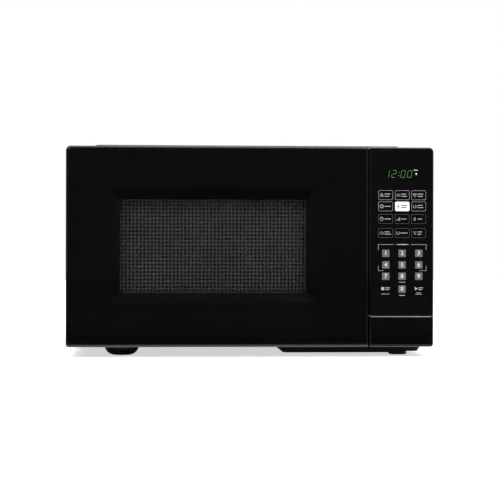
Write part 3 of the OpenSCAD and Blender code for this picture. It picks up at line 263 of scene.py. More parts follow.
class Coater:
    """Turns a finish into a material that varies over the surface.

    Each make of surface gives three maps: its tone, its share of the finish's roughness, and its relief.

    Attributes:
        second: Second tones: the painted highlight's light grey, solder-mask track, tinned pad, and iron
            speck in a glaze.
    """

    second: ClassVar[Dict[str, str]] = {
        "line": "b4b5b7", "track": "5f9a6a", "pad": "b9bab8", "speck": "8c7a62"}

    def __init__(self, finish: Finish) -> None:
        """Open a material for a finish.

        Args:
            finish: The finish to make.
        """
        self.finish, self.cell, self.tone = finish, finish.cell, linear(finish.tone)
        self.material = bpy.data.materials.new(finish.name)
        self.material.use_nodes = True
        self.bench = Bench(self.material.node_tree)
        self.place = self.bench.field("ShaderNodeTexCoord", "Object")

    def spots(self, size: float, detail: float = 2.0, stretch: Optional[Point] = None) -> Field:
        """Soft noise.

        Args:
            size: Size of its spots in millimetres.
            detail: How many finer layers it has.
            stretch: Scale along each axis, for streaks.

        Returns:
            A value around one half.
        """
        place = self.place
        if stretch:
            place = self.bench.field("ShaderNodeMapping", 0, None, {"Vector": place, "Scale": stretch})
        inputs = {"Vector": place, "Scale": 1 / (size * MM), "Detail": detail, "Roughness": 0.55}
        return self.bench.field("ShaderNodeTexNoise", "Fac", None, inputs)

    def cells(self, size: float, output: str = "Distance", feature: str = "F1") -> Field:
        """Voronoi cells of a size in millimetres."""
        return self.bench.field("ShaderNodeTexVoronoi", output, {"feature": feature},
                                {"Vector": self.place, "Scale": 1 / (size * MM)})

    def shards(self) -> Field:
        """A value of its own for each cell of the finish's pattern."""
        return self.bench.field("ShaderNodeSeparateColor", 0, None, {0: self.cells(self.cell, "Color")})

    def bands(self, axis: str) -> Field:
        """Fine parallel bands across one axis, at the pitch of the finish's pattern."""
        return self.bench.field(
            "ShaderNodeTexWave", "Fac", {"bands_direction": axis},
            {"Vector": self.place, "Scale": 0.31831 / (self.cell * MM), "Distortion": 0.6, "Detail": 1.0,
             "Detail Scale": 1.5})

    def shaded(self, share: Field) -> Field:
        """The finish's tone, from its darkest shade at a share of nought to its lightest at one."""
        reach = self.finish.mottle
        low, high = (tuple(min(1.0, c * k) for c in self.tone[:3]) + (1.0,) for k in (1 - reach, 1 + reach))
        return self.bench.blend(share, low, high)

    def gloss(self) -> Maps:
        """A polished moulding: faint flow marks, handling smears and orange peel, and a painted highlight
        band where the finish has one.
        """
        tone = self.shaded(self.spots(70, 1.0))
        if self.finish.painted_highlight:
            # Painted highlight: a light band in the colour stands for the lip's reflection of the floor.
            line = self.place.axes()[2].between(*self.finish.painted_highlight)
            tone = self.bench.blend(line, tone, linear(self.second["line"]))
        return tone, 0.7 + 0.6 * self.spots(38, 3.0), self.spots(self.cell, 1.0)

    def moulded(self) -> Maps:
        """A spark-grained moulding: a close, even pebble with a slightly worn look."""
        pebble, wear = self.spots(self.cell, 3.0), self.spots(26)
        return self.shaded(0.5 * pebble + 0.5 * wear), 0.85 + 0.2 * pebble + 0.1 * wear, pebble

    def enamel(self) -> Maps:
        """Baked enamel: orange peel, a slow drift of tone and fine dust specks in the coat."""
        speck = self.cells(6.5).below(0.055)
        pale = tuple(min(1.0, 2.2 * c + 0.01) for c in self.tone[:3]) + (1.0,)
        tone = self.bench.blend(0.35 * speck, self.shaded(self.spots(55)), pale)
        return tone, 0.85 + 0.3 * self.spots(18), self.spots(self.cell)

    def spangle(self) -> Maps:
        """Zinc-coated sheet: angular crystals, each with its own shade and sheen."""
        crystal, streak = self.shards(), self.spots(3.0, 2.0, (0.15, 1.0, 1.0))
        seam = self.cells(self.cell, feature="DISTANCE_TO_EDGE").below(0.03)
        share = (0.75 * crystal + 0.35 * streak - 0.25 * seam).kept()
        return self.shaded(share), 0.75 + 0.5 * crystal, 0.6 * crystal + 0.4 * streak

    def brushed(self) -> Maps:
        """Drawn or plated metal: fine die lines one way, and a patchy haze."""
        line, haze = self.spots(self.cell, 3.0, (0.04, 1.0, 1.0)), self.spots(16)
        return self.shaded(0.6 * line + 0.4 * haze), 0.7 + 0.4 * line + 0.2 * haze, line

    def laminated(self) -> Maps:
        """Stacked sheets under varnish: thin edges side by side, with darker runs of varnish."""
        edge, run = self.bands("Y"), self.spots(9, 3.0)
        return self.shaded(0.6 * edge + 0.4 * run), 0.7 + 0.6 * run, edge

    def wound(self) -> Maps:
        """Varnished wire: turn beside turn, with a duller gap between them."""
        turn, run = self.bands("Z"), self.spots(7)
        return self.shaded(0.7 * turn + 0.3 * run), 1.2 - 0.4 * turn, turn

    def board(self) -> Maps:
        """A circuit board: solder mask with raised tracks and tinned pads."""
        flat = self.bench.field("ShaderNodeMapping", 0, None,
                                {"Vector": self.place, "Rotation": (math.pi / 2, 0, 0)})
        track = self.bench.field("ShaderNodeTexBrick", "Fac", {"offset": 0.37},
                                 {"Vector": flat, "Scale": 1 / (self.cell * MM), "Mortar Size": 0.045,
                                  "Mortar Smooth": 0.1, "Brick Width": 1.6, "Row Height": 0.7})
        pad = self.cells(self.cell * 0.9).below(0.16)
        masked = self.bench.blend(0.55 * track, self.shaded(self.spots(14)), linear(self.second["track"]))
        tone = self.bench.blend(pad, masked, linear(self.second["pad"]))
        return tone, 1.0 - 0.3 * pad, (track + pad).kept()

    def glazed(self) -> Maps:
        """Fired ceramic: iron specks and a slow glaze ripple."""
        speck = self.cells(3.2).below(0.06)
        tone = self.bench.blend(0.4 * speck, self.shaded(self.spots(8)), linear(self.second["speck"]))
        return tone, 0.8 + 0.4 * self.spots(5), self.spots(self.cell)

    def flaked(self) -> Maps:
        """Pressed mica: overlapping flakes with dull and bright scales."""
        flake, fine = self.shards(), self.spots(1.2, 3.0)
        return self.shaded(0.6 * flake + 0.4 * fine), 0.7 + 0.6 * flake, 0.7 * flake + 0.3 * fine

    def printed(self) -> Maps:
        """Screen-printed ink: the mesh's fine stipple and slightly uneven cover."""
        stipple = self.spots(self.cell)
        return self.shaded(0.6 * stipple + 0.4 * self.spots(6)), 0.85 + 0.3 * stipple, stipple

    def softened(self) -> Field:
        """The normal of softened edges, and the true normal within the finish's crisp field."""
        soft = self.bench.field("ShaderNodeBevel", 0, {"samples": 6}, {"Radius": self.finish.edge * MM})
        if not self.finish.crisp:
            return soft
        left, low, right, high = self.finish.crisp
        across, _, up = self.place.axes()
        inside = across.between(left, right) * up.between(low, high)
        return self.bench.blend(inside, soft, self.bench.field("ShaderNodeNewGeometry", "Normal"))

    def coated(self) -> bpy.types.Material:
        """Build the material.

        Returns:
            The material, with its maps joined to one shader.
        """
        done = self.finish
        makes: Dict[Grain, Callable[[], Maps]] = {
            Grain.GLOSS: self.gloss, Grain.MOULDED: self.moulded, Grain.ENAMEL: self.enamel,
            Grain.SPANGLE: self.spangle, Grain.BRUSHED: self.brushed, Grain.LAMINATED: self.laminated,
            Grain.WOUND: self.wound, Grain.BOARD: self.board, Grain.GLAZED: self.glazed,
            Grain.CLEAR: self.gloss, Grain.FLAKED: self.flaked, Grain.PRINTED: self.printed,
            Grain.LIT: self.printed}
        tone, share, height = makes[done.grain]()
        relief: Dict[object, object] = {"Strength": 1.0, "Distance": done.relief * MM, "Height": height}
        if done.edge:
            relief["Normal"] = self.softened()
        inputs: Dict[object, object] = {
            "Base Color": tone, "Roughness": done.roughness * share, "Metallic": done.metallic,
            "Alpha": done.alpha, "Normal": self.bench.field("ShaderNodeBump", 0, None, relief)}
        if done.grain is Grain.LIT:
            inputs.update({"Emission Color": tone, "Emission Strength": 1.0})
        shader = self.bench.node("ShaderNodeBsdfPrincipled", None, inputs)
        self.bench.finish("ShaderNodeOutputMaterial", shader)
        return self.material


def ink(name: str, tone: str, roughness: float = 0.45, mottle: float = 0.12) -> Finish:
    """A screen-printed ink."""
    return Finish(f"ink_{name}", tone, roughness, Grain.PRINTED, cell=0.3, relief=0.002, mottle=mottle)


FINISHES: Dict[str, Finish] = {finish.name: finish for finish in (
    Finish("cover_paint", "101011", 0.4, Grain.ENAMEL, cell=0.9, relief=0.012),
    Finish("galvanised", "b4b6b7", 0.36, Grain.SPANGLE, 1.0, cell=5.5, relief=0.006, mottle=0.17),
    Finish("cavity_paint", "c5c5c1", 0.33, Grain.ENAMEL, cell=1.1, relief=0.014, mottle=0.05),
    Finish("front_plate_paint", "2a2a2c", 0.36, Grain.ENAMEL, cell=0.9, relief=0.012),
    Finish("gloss_black", "070707", 0.07, Grain.GLOSS, cell=2.4, relief=0.0012, mottle=0.2, edge=2.4),
    Finish("matt_black", "1a1a1b", 0.55, Grain.MOULDED, cell=0.45, relief=0.02),
    Finish("foot_black", "121213", 0.38, Grain.MOULDED, cell=0.6, relief=0.012),
    Finish("grommet_rubber", "151516", 0.62, Grain.MOULDED, cell=0.8, relief=0.02),
    Finish("screw_zinc", "c9cacb", 0.25, Grain.BRUSHED, 1.0, cell=0.3, relief=0.004),
    Finish("guide_steel", "cbcccd", 0.3, Grain.BRUSHED, 1.0, cell=0.5, relief=0.005),
    Finish("mica", "c2b08c", 0.5, Grain.FLAKED, cell=5.0, relief=0.02, mottle=0.18),
    Finish("magnetron_steel", "c0c1c2", 0.3, Grain.BRUSHED, 1.0, cell=0.5, relief=0.005),
    Finish("fin_aluminium", "d6d7d8", 0.34, Grain.BRUSHED, 1.0, cell=0.4, relief=0.005),
    Finish("antenna_ceramic", "ebe8e2", 0.3, Grain.GLAZED, cell=1.5, relief=0.01, mottle=0.04),
    Finish("core_iron", "5b5b5d", 0.45, Grain.LAMINATED, 0.7, cell=0.5, relief=0.03, mottle=0.35),
    Finish("copper_winding", "a8623a", 0.28, Grain.WOUND, 0.55, cell=0.95, relief=0.12, mottle=0.3),
    Finish("can_aluminium", "c9cbcc", 0.28, Grain.BRUSHED, 1.0, cell=0.5, relief=0.004),
    Finish("diode_black", "222223", 0.25, Grain.GLOSS, cell=1.2, relief=0.004),
    Finish("shroud_plastic", "2d2d30", 0.5, Grain.MOULDED, cell=0.55, relief=0.02),
    Finish("fan_motor_iron", "7a6f60", 0.4, Grain.LAMINATED, 0.5, cell=0.5, relief=0.03, mottle=0.3),
    Finish("fan_plastic", "cfcfc9", 0.42, Grain.MOULDED, cell=0.6, relief=0.01, mottle=0.06),
    Finish("pcb_green", "2f7345", 0.35, Grain.BOARD, cell=7.0, relief=0.02, mottle=0.12),
    Finish("bulb_glass", "f3efd8", 0.05, Grain.CLEAR, cell=3.0, relief=0.002, alpha=0.45, mottle=0.03),
    Finish("holder_ceramic", "dcdad4", 0.25, Grain.GLAZED, cell=1.6, relief=0.012, mottle=0.05),
    Finish("cutout_black", "2b2b2d", 0.4, Grain.MOULDED, cell=0.6, relief=0.015),
    Finish("motor_steel", "babbbc", 0.3, Grain.BRUSHED, 1.0, cell=0.5, relief=0.005),
    Finish("white_plastic", "d8d6cd", 0.4, Grain.MOULDED, cell=0.7, relief=0.008, mottle=0.05),
    Finish("tray_glass", "c9dcdc", 0.04, Grain.CLEAR, cell=6.0, relief=0.006, alpha=0.32, mottle=0.04),
    Finish("window_glass", "0b0b0c", 0.04, Grain.CLEAR, cell=6.0, relief=0.0008, alpha=0.3, mottle=0.1),
    Finish("inner_glass", "26282a", 0.05, Grain.CLEAR, cell=6.0, relief=0.001, alpha=0.3, mottle=0.1),
    Finish("door_steel", "8d8f91", 0.38, Grain.BRUSHED, 1.0, cell=0.6, relief=0.006, mottle=0.2),
    Finish("screen_paint", "5a5c5d", 0.42, Grain.ENAMEL, cell=0.6, relief=0.006, mottle=0.25),
    Finish("spring_steel", "bcbcbd", 0.22, Grain.BRUSHED, 1.0, cell=0.2, relief=0.003),
    Finish("hinge_steel", "a3a5a7", 0.3, Grain.BRUSHED, 1.0, cell=0.5, relief=0.006),
    Finish("keypad_film", "080809", 0.12, Grain.GLOSS, cell=0.8, relief=0.0015, mottle=0.15),
    Finish("display_dark", "070907", 0.08, Grain.GLOSS, cell=2.0, relief=0.001),
    Finish("board_parts_blue", "2a3f78", 0.3, Grain.GLOSS, cell=1.4, relief=0.004),
    Finish("switch_black", "212122", 0.45, Grain.MOULDED, cell=0.5, relief=0.012),
    Finish("plunger_red", "ba2f24", 0.3, Grain.GLOSS, relief=0.003),
)}

INK_LIGHT = ink("light_grey", "a6a7a9")
INK_DIM = ink("dim_grey", "55565a", mottle=0.15)
INK_PALE = ink("pale_grey", "cbcccd", mottle=0.08)
INK_WHITE = ink("white", "e6e6e6", 0.42, 0.06)
INK_KEY = ink("key_grey", "5d5e60", mottle=0.1)
INK_BLACK = ink("black", "121214", 0.4, 0.15)
CLOCK_GREEN = Finish("clock_green", "4c8245", 0.4, Grain.LIT, cell=0.5, relief=0.001, mottle=0.2)


@dataclass
class PaintShop:
    """Holds every finish's material, dresses the CAD nodes and finishes the modelled pieces.

    Attributes:
        border: Width of the door frame's rounded border, within which its edges stay sharp.
        rim: How far past the keypad film the panel's edges stay sharp.
        sill: How far under the film the panel ends and the button begins.
        panel_highlight: Reach of the painted highlight on the panel, a light band in the colour, from the
            sill upwards.
        button_highlight: Reach of the painted highlight on the button, a light band in the colour, from the
            sill upwards.
        tins: The material of each finish that has been used.
    """

    border: float = 8.0
    rim: float = 1.5
    sill: float = 3.6
    panel_highlight: Tuple[float, float] = (-0.1, 0.35)
    button_highlight: Tuple[float, float] = (-1.15, -0.7)
    tins: Dict[str, bpy.types.Material] = field(default_factory=dict)

    def tin(self, finish: Finish) -> bpy.types.Material:
        """The material of a finish, made at its first use."""
        if finish.name not in self.tins:
            self.tins[finish.name] = Coater(finish).coated()
        return self.tins[finish.name]

    def outline(self, node: str, grow: float) -> Tuple[float, ...]:
        """Left, low, right and high side of a node, moved outwards by some millimetres."""
        low, high = box_mm(node)
        return low.x - grow, low.z - grow, high.x + grow, high.z + grow

    def dress_nodes(self) -> None:
        """Give every CAD node its slot's finish; a painted highlight, a light silver-grey band in the
        colour, runs where the button meets the panel.
        """
        gloss = FINISHES["gloss_black"]
        sill = box_mm("keypad_overlay")[0].z - self.sill
        # Painted highlight: light bands on the panel's lower lip and the button's top edge stand for the
        # floor's reflection there.
        upper = tuple(sill + reach for reach in self.panel_highlight)
        lower = tuple(sill + reach for reach in self.button_highlight)
        own = {"door_frame": replace(gloss, name="gloss_black_door", edge=5.0,
                                     crisp=self.outline("door_frame", -self.border)),
               "control_panel": replace(gloss, name="gloss_black_highlit", edge=1.2, painted_highlight=upper,
                                        crisp=self.outline("keypad_overlay", self.rim)),
               "release_button": replace(gloss, name="gloss_black_button", edge=0.6, painted_highlight=lower)}
        for part in frame["record"]["subparts"]:
            node = frame["nodes"][part["node"]]
            node.data.materials.clear()
            node.data.materials.append(self.tin(own.get(part["node"], FINISHES[part["material_slot"]])))
        LOG.info("dressed %d CAD nodes in %d finishes", len(frame["nodes"]), len(self.tins))

    def hand_over(self, piece: bpy.types.Object, slot: str, body: str, *stands_for: str,
                  finish: Optional[Finish] = None) -> None:
        """Finish a piece: its material, from its slot's finish or its own, the body that it rides on and
        the nodes that it replaces.

        Args:
            piece: The finished object.
            slot: The record's slot that its finish belongs to.
            body: The CAD body that carries it.
            stands_for: The CAD nodes that it replaces.
            finish: Its own finish, or nothing for the slot's.
        """
        piece.data.materials.clear()
        piece.data.materials.append(self.tin(finish or FINISHES[slot]))
        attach(piece, body)
        if stands_for:
            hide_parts(*stands_for)
        LOG.info("piece %s: %d faces on %s", piece.name, len(piece.data.polygons), body)


@dataclass
class Assembly:
    """A sub-assembly.

    Attributes:
        shop: Where its finishes come from.
    """

    shop: PaintShop


# ---- modelling


class Model:
    """One mesh that is modelled with the editing tools, with lengths in millimetres."""

    def __init__(self, name: str) -> None:
        """Start an empty mesh in edit mode.

        Args:
            name: The piece's name.
        """
        bpy.ops.object.select_all(action="DESELECT")
        bpy.ops.mesh.primitive_plane_add(size=1)
        self.piece: bpy.types.Object = bpy.context.object
        self.piece.name = self.piece.data.name = name
        bpy.ops.object.mode_set(mode="EDIT")
        bpy.ops.mesh.delete(type="VERT")

    def pick(self, test: Callable[[Vector], bool], kind: str = "VERT") -> None:
        """Select by place.

        Args:
            test: Says whether a vertex, or the middle of an edge or face, is wanted.
            kind: VERT, EDGE or FACE.
        """
        bpy.ops.mesh.select_mode(type=kind)
        bpy.ops.mesh.select_all(action="DESELECT")
        mesh = bmesh.from_edit_mesh(self.piece.data)
        for item in {"VERT": mesh.verts, "EDGE": mesh.edges, "FACE": mesh.faces}[kind]:
            corners = [item] if kind == "VERT" else item.verts
            if test(sum((v.co for v in corners), Vector()) / len(corners)):
                item.select_set(True)
        bmesh.update_edit_mesh(self.piece.data)

    def pick_all(self, kind: str = "") -> None:
        """Select everything, in a select mode where one is given."""
        if kind:
            bpy.ops.mesh.select_mode(type=kind)
        bpy.ops.mesh.select_all(action="SELECT")

    def plate(self, wide: float, tall: float, corner: float = 0.0, steps: int = 6) -> None:
        """Add a flat plate around the origin, and select it all.

        Args:
            wide: Its width.
            tall: Its height.
            corner: The radius of its corners, or nought.
            steps: How many sides each corner has.
        """
        bpy.ops.mesh.primitive_plane_add(size=1)
        self.size(wide * MM, tall * MM)
        if corner:
            bpy.ops.mesh.bevel(offset=corner * MM, affect="VERTICES", segments=steps)
            self.pick_all("FACE")

    def disc(self, sides: int, radius: float, fill: str = "NGON") -> None:
        """Add a flat disc around the origin, or with NOTHING its edge alone."""
        bpy.ops.mesh.primitive_circle_add(vertices=sides, radius=radius * MM, fill_type=fill)

    def move(self, x: float = 0.0, y: float = 0.0, z: float = 0.0) -> None:
        """Move what is selected."""
        bpy.ops.transform.translate(value=(x * MM, y * MM, z * MM))

    def size(self, x: float, y: float, z: float = 1.0) -> None:
        """Scale what is selected about the origin."""
        bpy.ops.transform.resize(value=(x, y, z), center_override=(0, 0, 0))

    def turn(self, angle: float, axis: str = "Z") -> None:
        """Turn what is selected about the origin, by an angle in radians."""
        bpy.ops.transform.rotate(value=angle, orient_axis=axis, center_override=(0, 0, 0))

    def extrude(self, x: float = 0.0, y: float = 0.0, z: float = 0.0) -> None:
        """Extrude what is selected."""
        bpy.ops.mesh.extrude_region_move(TRANSFORM_OT_translate={"value": (x * MM, y * MM, z * MM)})

    def reopen(self) -> None:
        """Go back to edit mode, with everything selected."""
        bpy.ops.object.mode_set(mode="EDIT")
        bpy.ops.mesh.select_all(action="SELECT")

    def close(self) -> bpy.types.Object:
        """Leave edit mode and give the object back."""
        bpy.ops.object.mode_set(mode="OBJECT")
        return self.piece

    def shell(self) -> bpy.types.Object:
        """Turn all faces outwards, leave edit mode and give the object back."""
        bpy.ops.mesh.select_all(action="SELECT")
        bpy.ops.mesh.normals_make_consistent(inside=False)
        return self.close()

    def modify(self, kind: str, **settings: object) -> None:
        """Add one modifier and apply it, in object mode.

        Args:
            kind: The modifier's type.
            settings: Its settings.
        """
        choose([self.piece])
        made = self.piece.modifiers.new(kind.lower(), kind)
        for name, value in settings.items():
            setattr(made, name, value)
        bpy.ops.object.modifier_apply(modifier=made.name)


def choose(pieces: Sequence[bpy.types.Object]) -> None:
    """Select these pieces alone, with the first one active."""
    bpy.ops.object.select_all(action="DESELECT")
    for piece in pieces:
        piece.select_set(True)
    bpy.context.view_layer.objects.active = pieces[0]


def joined(pieces: Sequence[bpy.types.Object], name: str) -> bpy.types.Object:
    """Join pieces of one finish into one.

    Args:
        pieces: The pieces, the first of which stays.
        name: The joined piece's name.

    Returns:
        The joined piece.
    """
    choose(pieces)
    bpy.ops.object.join()
    pieces[0].name = pieces[0].data.name = name
    return pieces[0]


def repeated(piece: bpy.types.Object, places: Sequence[Matrix], name: str) -> bpy.types.Object:
    """Copy a piece to some places, each copy with its own mesh, and join the copies.

    Args:
        piece: The piece to copy.
        places: Where the mesh of each copy goes.
        name: The joined piece's name.

    Returns:
        The joined piece, with its object at the origin.
    """
    copies: List[bpy.types.Object] = []
    for place in places:
        made = piece.copy()
        made.data = piece.data.copy()
        made.data.transform(place)
        bpy.context.scene.collection.objects.link(made)
        copies.append(made)
    return joined(copies, name)


def shift(x: float, y: float, z: float = 0.0) -> Matrix:
    """A move in millimetres."""
    return Matrix.Translation(Vector((x, y, z)) * MM)


def upright(x: float, y: float, z: float) -> Matrix:
    """Stand a flat drawing up to face the front, with its middle at a place in millimetres."""
    return shift(x, y, z) @ Matrix.Rotation(math.pi / 2, 4, "X")


def facing_back(x: float, y: float, z: float) -> Matrix:
    """Stand a flat drawing up to face the back, with its middle at a place in millimetres."""
    return shift(x, y, z) @ Matrix.Rotation(-math.pi / 2, 4, "X")


# ---- door screen


@dataclass
class DoorScreen(Assembly):
    """The perforated sheet behind the window, punched all over with round holes.

    Attributes:
        pitch: Distance between the holes.
        hole: Radius of a hole.
        facets: Sides of a hole.
        thick: Thickness of the sheet.
        margin: Least width that stays unpunched, both sides together.
    """

    pitch: float = 4.9
    hole: float = 1.6
    facets: int = 16
    thick: float = 0.6
    margin: float = 4.0

    def build(self) -> None:
        """Punch one cell, repeat it over the window and draw the sheet's margin out to its size."""
        low, high = box_mm("door_screen")
        spans, half = (high.x - low.x, high.z - low.z), self.pitch / 2
        counts = [int((span - self.margin) // self.pitch) for span in spans]
        edges = [(span - count * self.pitch) / 2 for span, count in zip(spans, counts)]
        model = Model("door_screen_sheet")
        bpy.ops.mesh.primitive_grid_add(x_subdivisions=self.facets // 4, y_subdivisions=self.facets // 4,
                                        size=self.pitch * MM)
        model.pick(lambda p: max(abs(p.x), abs(p.y)) < (half - 0.05) * MM)
        bpy.ops.mesh.delete(type="VERT")
        model.disc(self.facets, self.hole, "NOTHING")
        model.turn(math.pi / 4)
        model.pick_all()
        bpy.ops.mesh.bridge_edge_loops()
        model.close()
        for axis, count in enumerate(counts):
            step = [0.0, 0.0, 0.0]
            step[axis] = self.pitch * MM
            model.modify("ARRAY", count=count, use_relative_offset=False, use_constant_offset=True,
                         constant_offset_displace=step, use_merge_vertices=True, merge_threshold=1e-5)
        model.reopen()
        for axis, (count, edge) in enumerate(zip(counts, edges)):
            for sign, limit in ((-1, -half * MM), (1, (count * self.pitch - half) * MM)):
                model.pick(lambda p, axis=axis, limit=limit: abs(p[axis] - limit) < 1e-5, "EDGE")
                model.extrude(**{"xy"[axis]: sign * edge})
        model.pick_all()
        bpy.ops.mesh.remove_doubles(threshold=1e-6)
        sheet = model.shell()
        sheet.data.transform(shift(edges[0] + half, edges[1] + half))
        sheet.data.transform(upright(low.x, (low.y + high.y) / 2, low.z))
        model.modify("SOLIDIFY", thickness=self.thick * MM, offset=0.0)
        LOG.info("door screen: %d by %d holes", *counts)
        self.shop.hand_over(sheet, "screen_paint", "door", "door_screen")


# ---- keypad


class Tip(Enum):
    """The shape of one printed stroke, by its number of sides."""

    WEDGE = 3
    BAR = 4
    DOT = 14
    RING = 20


@dataclass(frozen=True)
class Stroke:
    """One printed stroke of a mark.

    Attributes:
        tip: Its shape.
        x: Middle, to the right.
        z: Middle, upwards.
        size: Length of a bar, or radius of the others.
        width: Thickness of its line.
        turn: Degrees turned.
        flat: Height over width of a ring.
        aside: How far to the right a drawn stroke is put, so that the next one can be picked by its place.
    """

    tip: Tip
    x: float
    z: float
    size: float
    width: float = 0.45
    turn: float = 0.0
    flat: float = 1.0
    aside: ClassVar[float] = 1000.0

    def draw(self, model: Model) -> None:
        """Draw the stroke flat in an open model, around its middle, then move it to its place, and aside.

        Args:
            model: The open model.
        """
        if self.tip is Tip.BAR:
            model.plate(self.size, self.width)
        else:
            model.disc(self.tip.value, self.size)
        if self.tip is Tip.RING:
            bpy.ops.mesh.inset(thickness=self.width * MM)
            bpy.ops.mesh.delete(type="FACE")
            reach = (self.size + 0.1) * MM
            model.pick(lambda p: p.length < reach)
            model.size(1.0, self.flat)
        if self.turn:
            model.turn(-math.radians(self.turn))
        model.move(self.x + self.aside, self.z)


def dash(x: float, z: float, length: float, width: float = 0.45, turn: float = 0.0) -> Stroke:
    """A straight stroke."""
    return Stroke(Tip.BAR, x, z, length, width, turn)


def ring(x: float, z: float, radius: float, width: float = 0.45, flat: float = 1.0) -> Stroke:
    """A round outline."""
    return Stroke(Tip.RING, x, z, radius, width, flat=flat)


def dot(x: float, z: float, radius: float) -> Stroke:
    """A filled spot."""
    return Stroke(Tip.DOT, x, z, radius)


def wedge(x: float, z: float, radius: float, turn: float = 0.0) -> Stroke:
    """A filled triangle."""
    return Stroke(Tip.WEDGE, x, z, radius, turn=turn)


def printed(name: str, strokes: Sequence[Stroke], thick: float) -> bpy.types.Object:
    """Draw strokes as one thin print that lies flat.

    Args:
        name: The print's name.
        strokes: What it is made of.
        thick: Thickness of the ink in millimetres.

    Returns:
        The print, in the flat drawing plane.
    """
    model = Model(name)
    for stroke in strokes:
        stroke.draw(model)
    model.pick_all()
    model.move(-Stroke.aside)
    model.pick_all("FACE")
    model.extrude(z=thick)
    return model.shell()


class Sign(Enum):
    """Plain pictures that stand on the cooking keys, as strokes around each picture's middle."""

    CORN = (ring(-1.2, -0.8, 1.3), ring(1.2, -0.8, 1.3), ring(0, 1.1, 1.3))
    ROOT = (ring(0, 0, 2.5, flat=0.7), dot(-0.9, 0.3, 0.3), dot(0.8, -0.4, 0.3))
    SLICE = (dash(0, 1.7, 5.2, 0.6), dash(-1.25, -0.35, 4.6, 0.45, -60),
             dash(1.25, -0.35, 4.6, 0.45, 60), dot(0, 0.5, 0.45))
    PLATE = (ring(0, 0, 2.6), ring(0, 0, 1.5, 0.35))
    FLAKE = tuple(dash(0, 0, 5.2, 0.5, turn) for turn in (0, 60, 120))
    CUP = (dash(-0.5, -1.8, 3.0, 0.5), dash(-2.0, 0, 3.8, 0.5, 90),
           dash(1.0, 0, 3.8, 0.5, 90), ring(1.9, 0.2, 1.1, 0.4))
    CLOCK = (ring(0, 0, 2.5), dash(0, 0.75, 1.6, 0.4, 90), dash(0.55, 0, 1.3, 0.4))
    STEPS = (dash(-1.8, -1.4, 1.4, 0.9, 90), dash(0, -0.8, 2.6, 0.9, 90),
             dash(1.8, 0, 4.2, 0.9, 90))
    DROP = (ring(0, -0.6, 1.6), wedge(0, 1.5, 1.0))
    SCALE = (dash(0, 1.4, 5.0, 0.45), dash(0, 0, 3.0, 0.45, 90),
             dash(0, -1.6, 2.6, 0.45))

    def at(self, x: float, z: float) -> List[Stroke]:
        """The picture's strokes, moved to a place."""
        return [replace(stroke, x=stroke.x + x, z=stroke.z + z) for stroke in self.value]


@dataclass(frozen=True)
class CookKey:
    """One outlined cooking key: its place, its picture and the plain bars beside the picture.

    Attributes:
        x: Middle, to the right.
        z: Middle, upwards.
        sign: Its picture.
        bars: Lengths of the bars, from the top down.
        light: Whether it is printed in the light ink.
        filled: Whether the key is printed solid white, with bolder bars.
        picture: Where the picture's middle stands, from the key's middle.
        left: Where the bars begin.
        lead: Distance between the bars.
        plain: Thickness of the bars.
        bold: Thickness of the bars on a solid key.
    """

    x: float
    z: float
    sign: Sign
    bars: Tuple[float, ...]
    light: bool
    filled: bool
    picture: ClassVar[float] = -5.2
    left: ClassVar[float] = -1.4
    lead: ClassVar[float] = 3.0
    plain: ClassVar[float] = 0.85
    bold: ClassVar[float] = 1.1

    def strokes(self) -> List[Stroke]:
        """The picture on the left and the bars on the right, centred on the key."""
        top, width = self.z + self.lead / 2 * (len(self.bars) - 1), self.bold if self.filled else self.plain
        return self.sign.at(self.x + self.picture, self.z) + [
            dash(self.x + self.left + length / 2, top - self.lead * row, length, width)
            for row, length in enumerate(self.bars)]


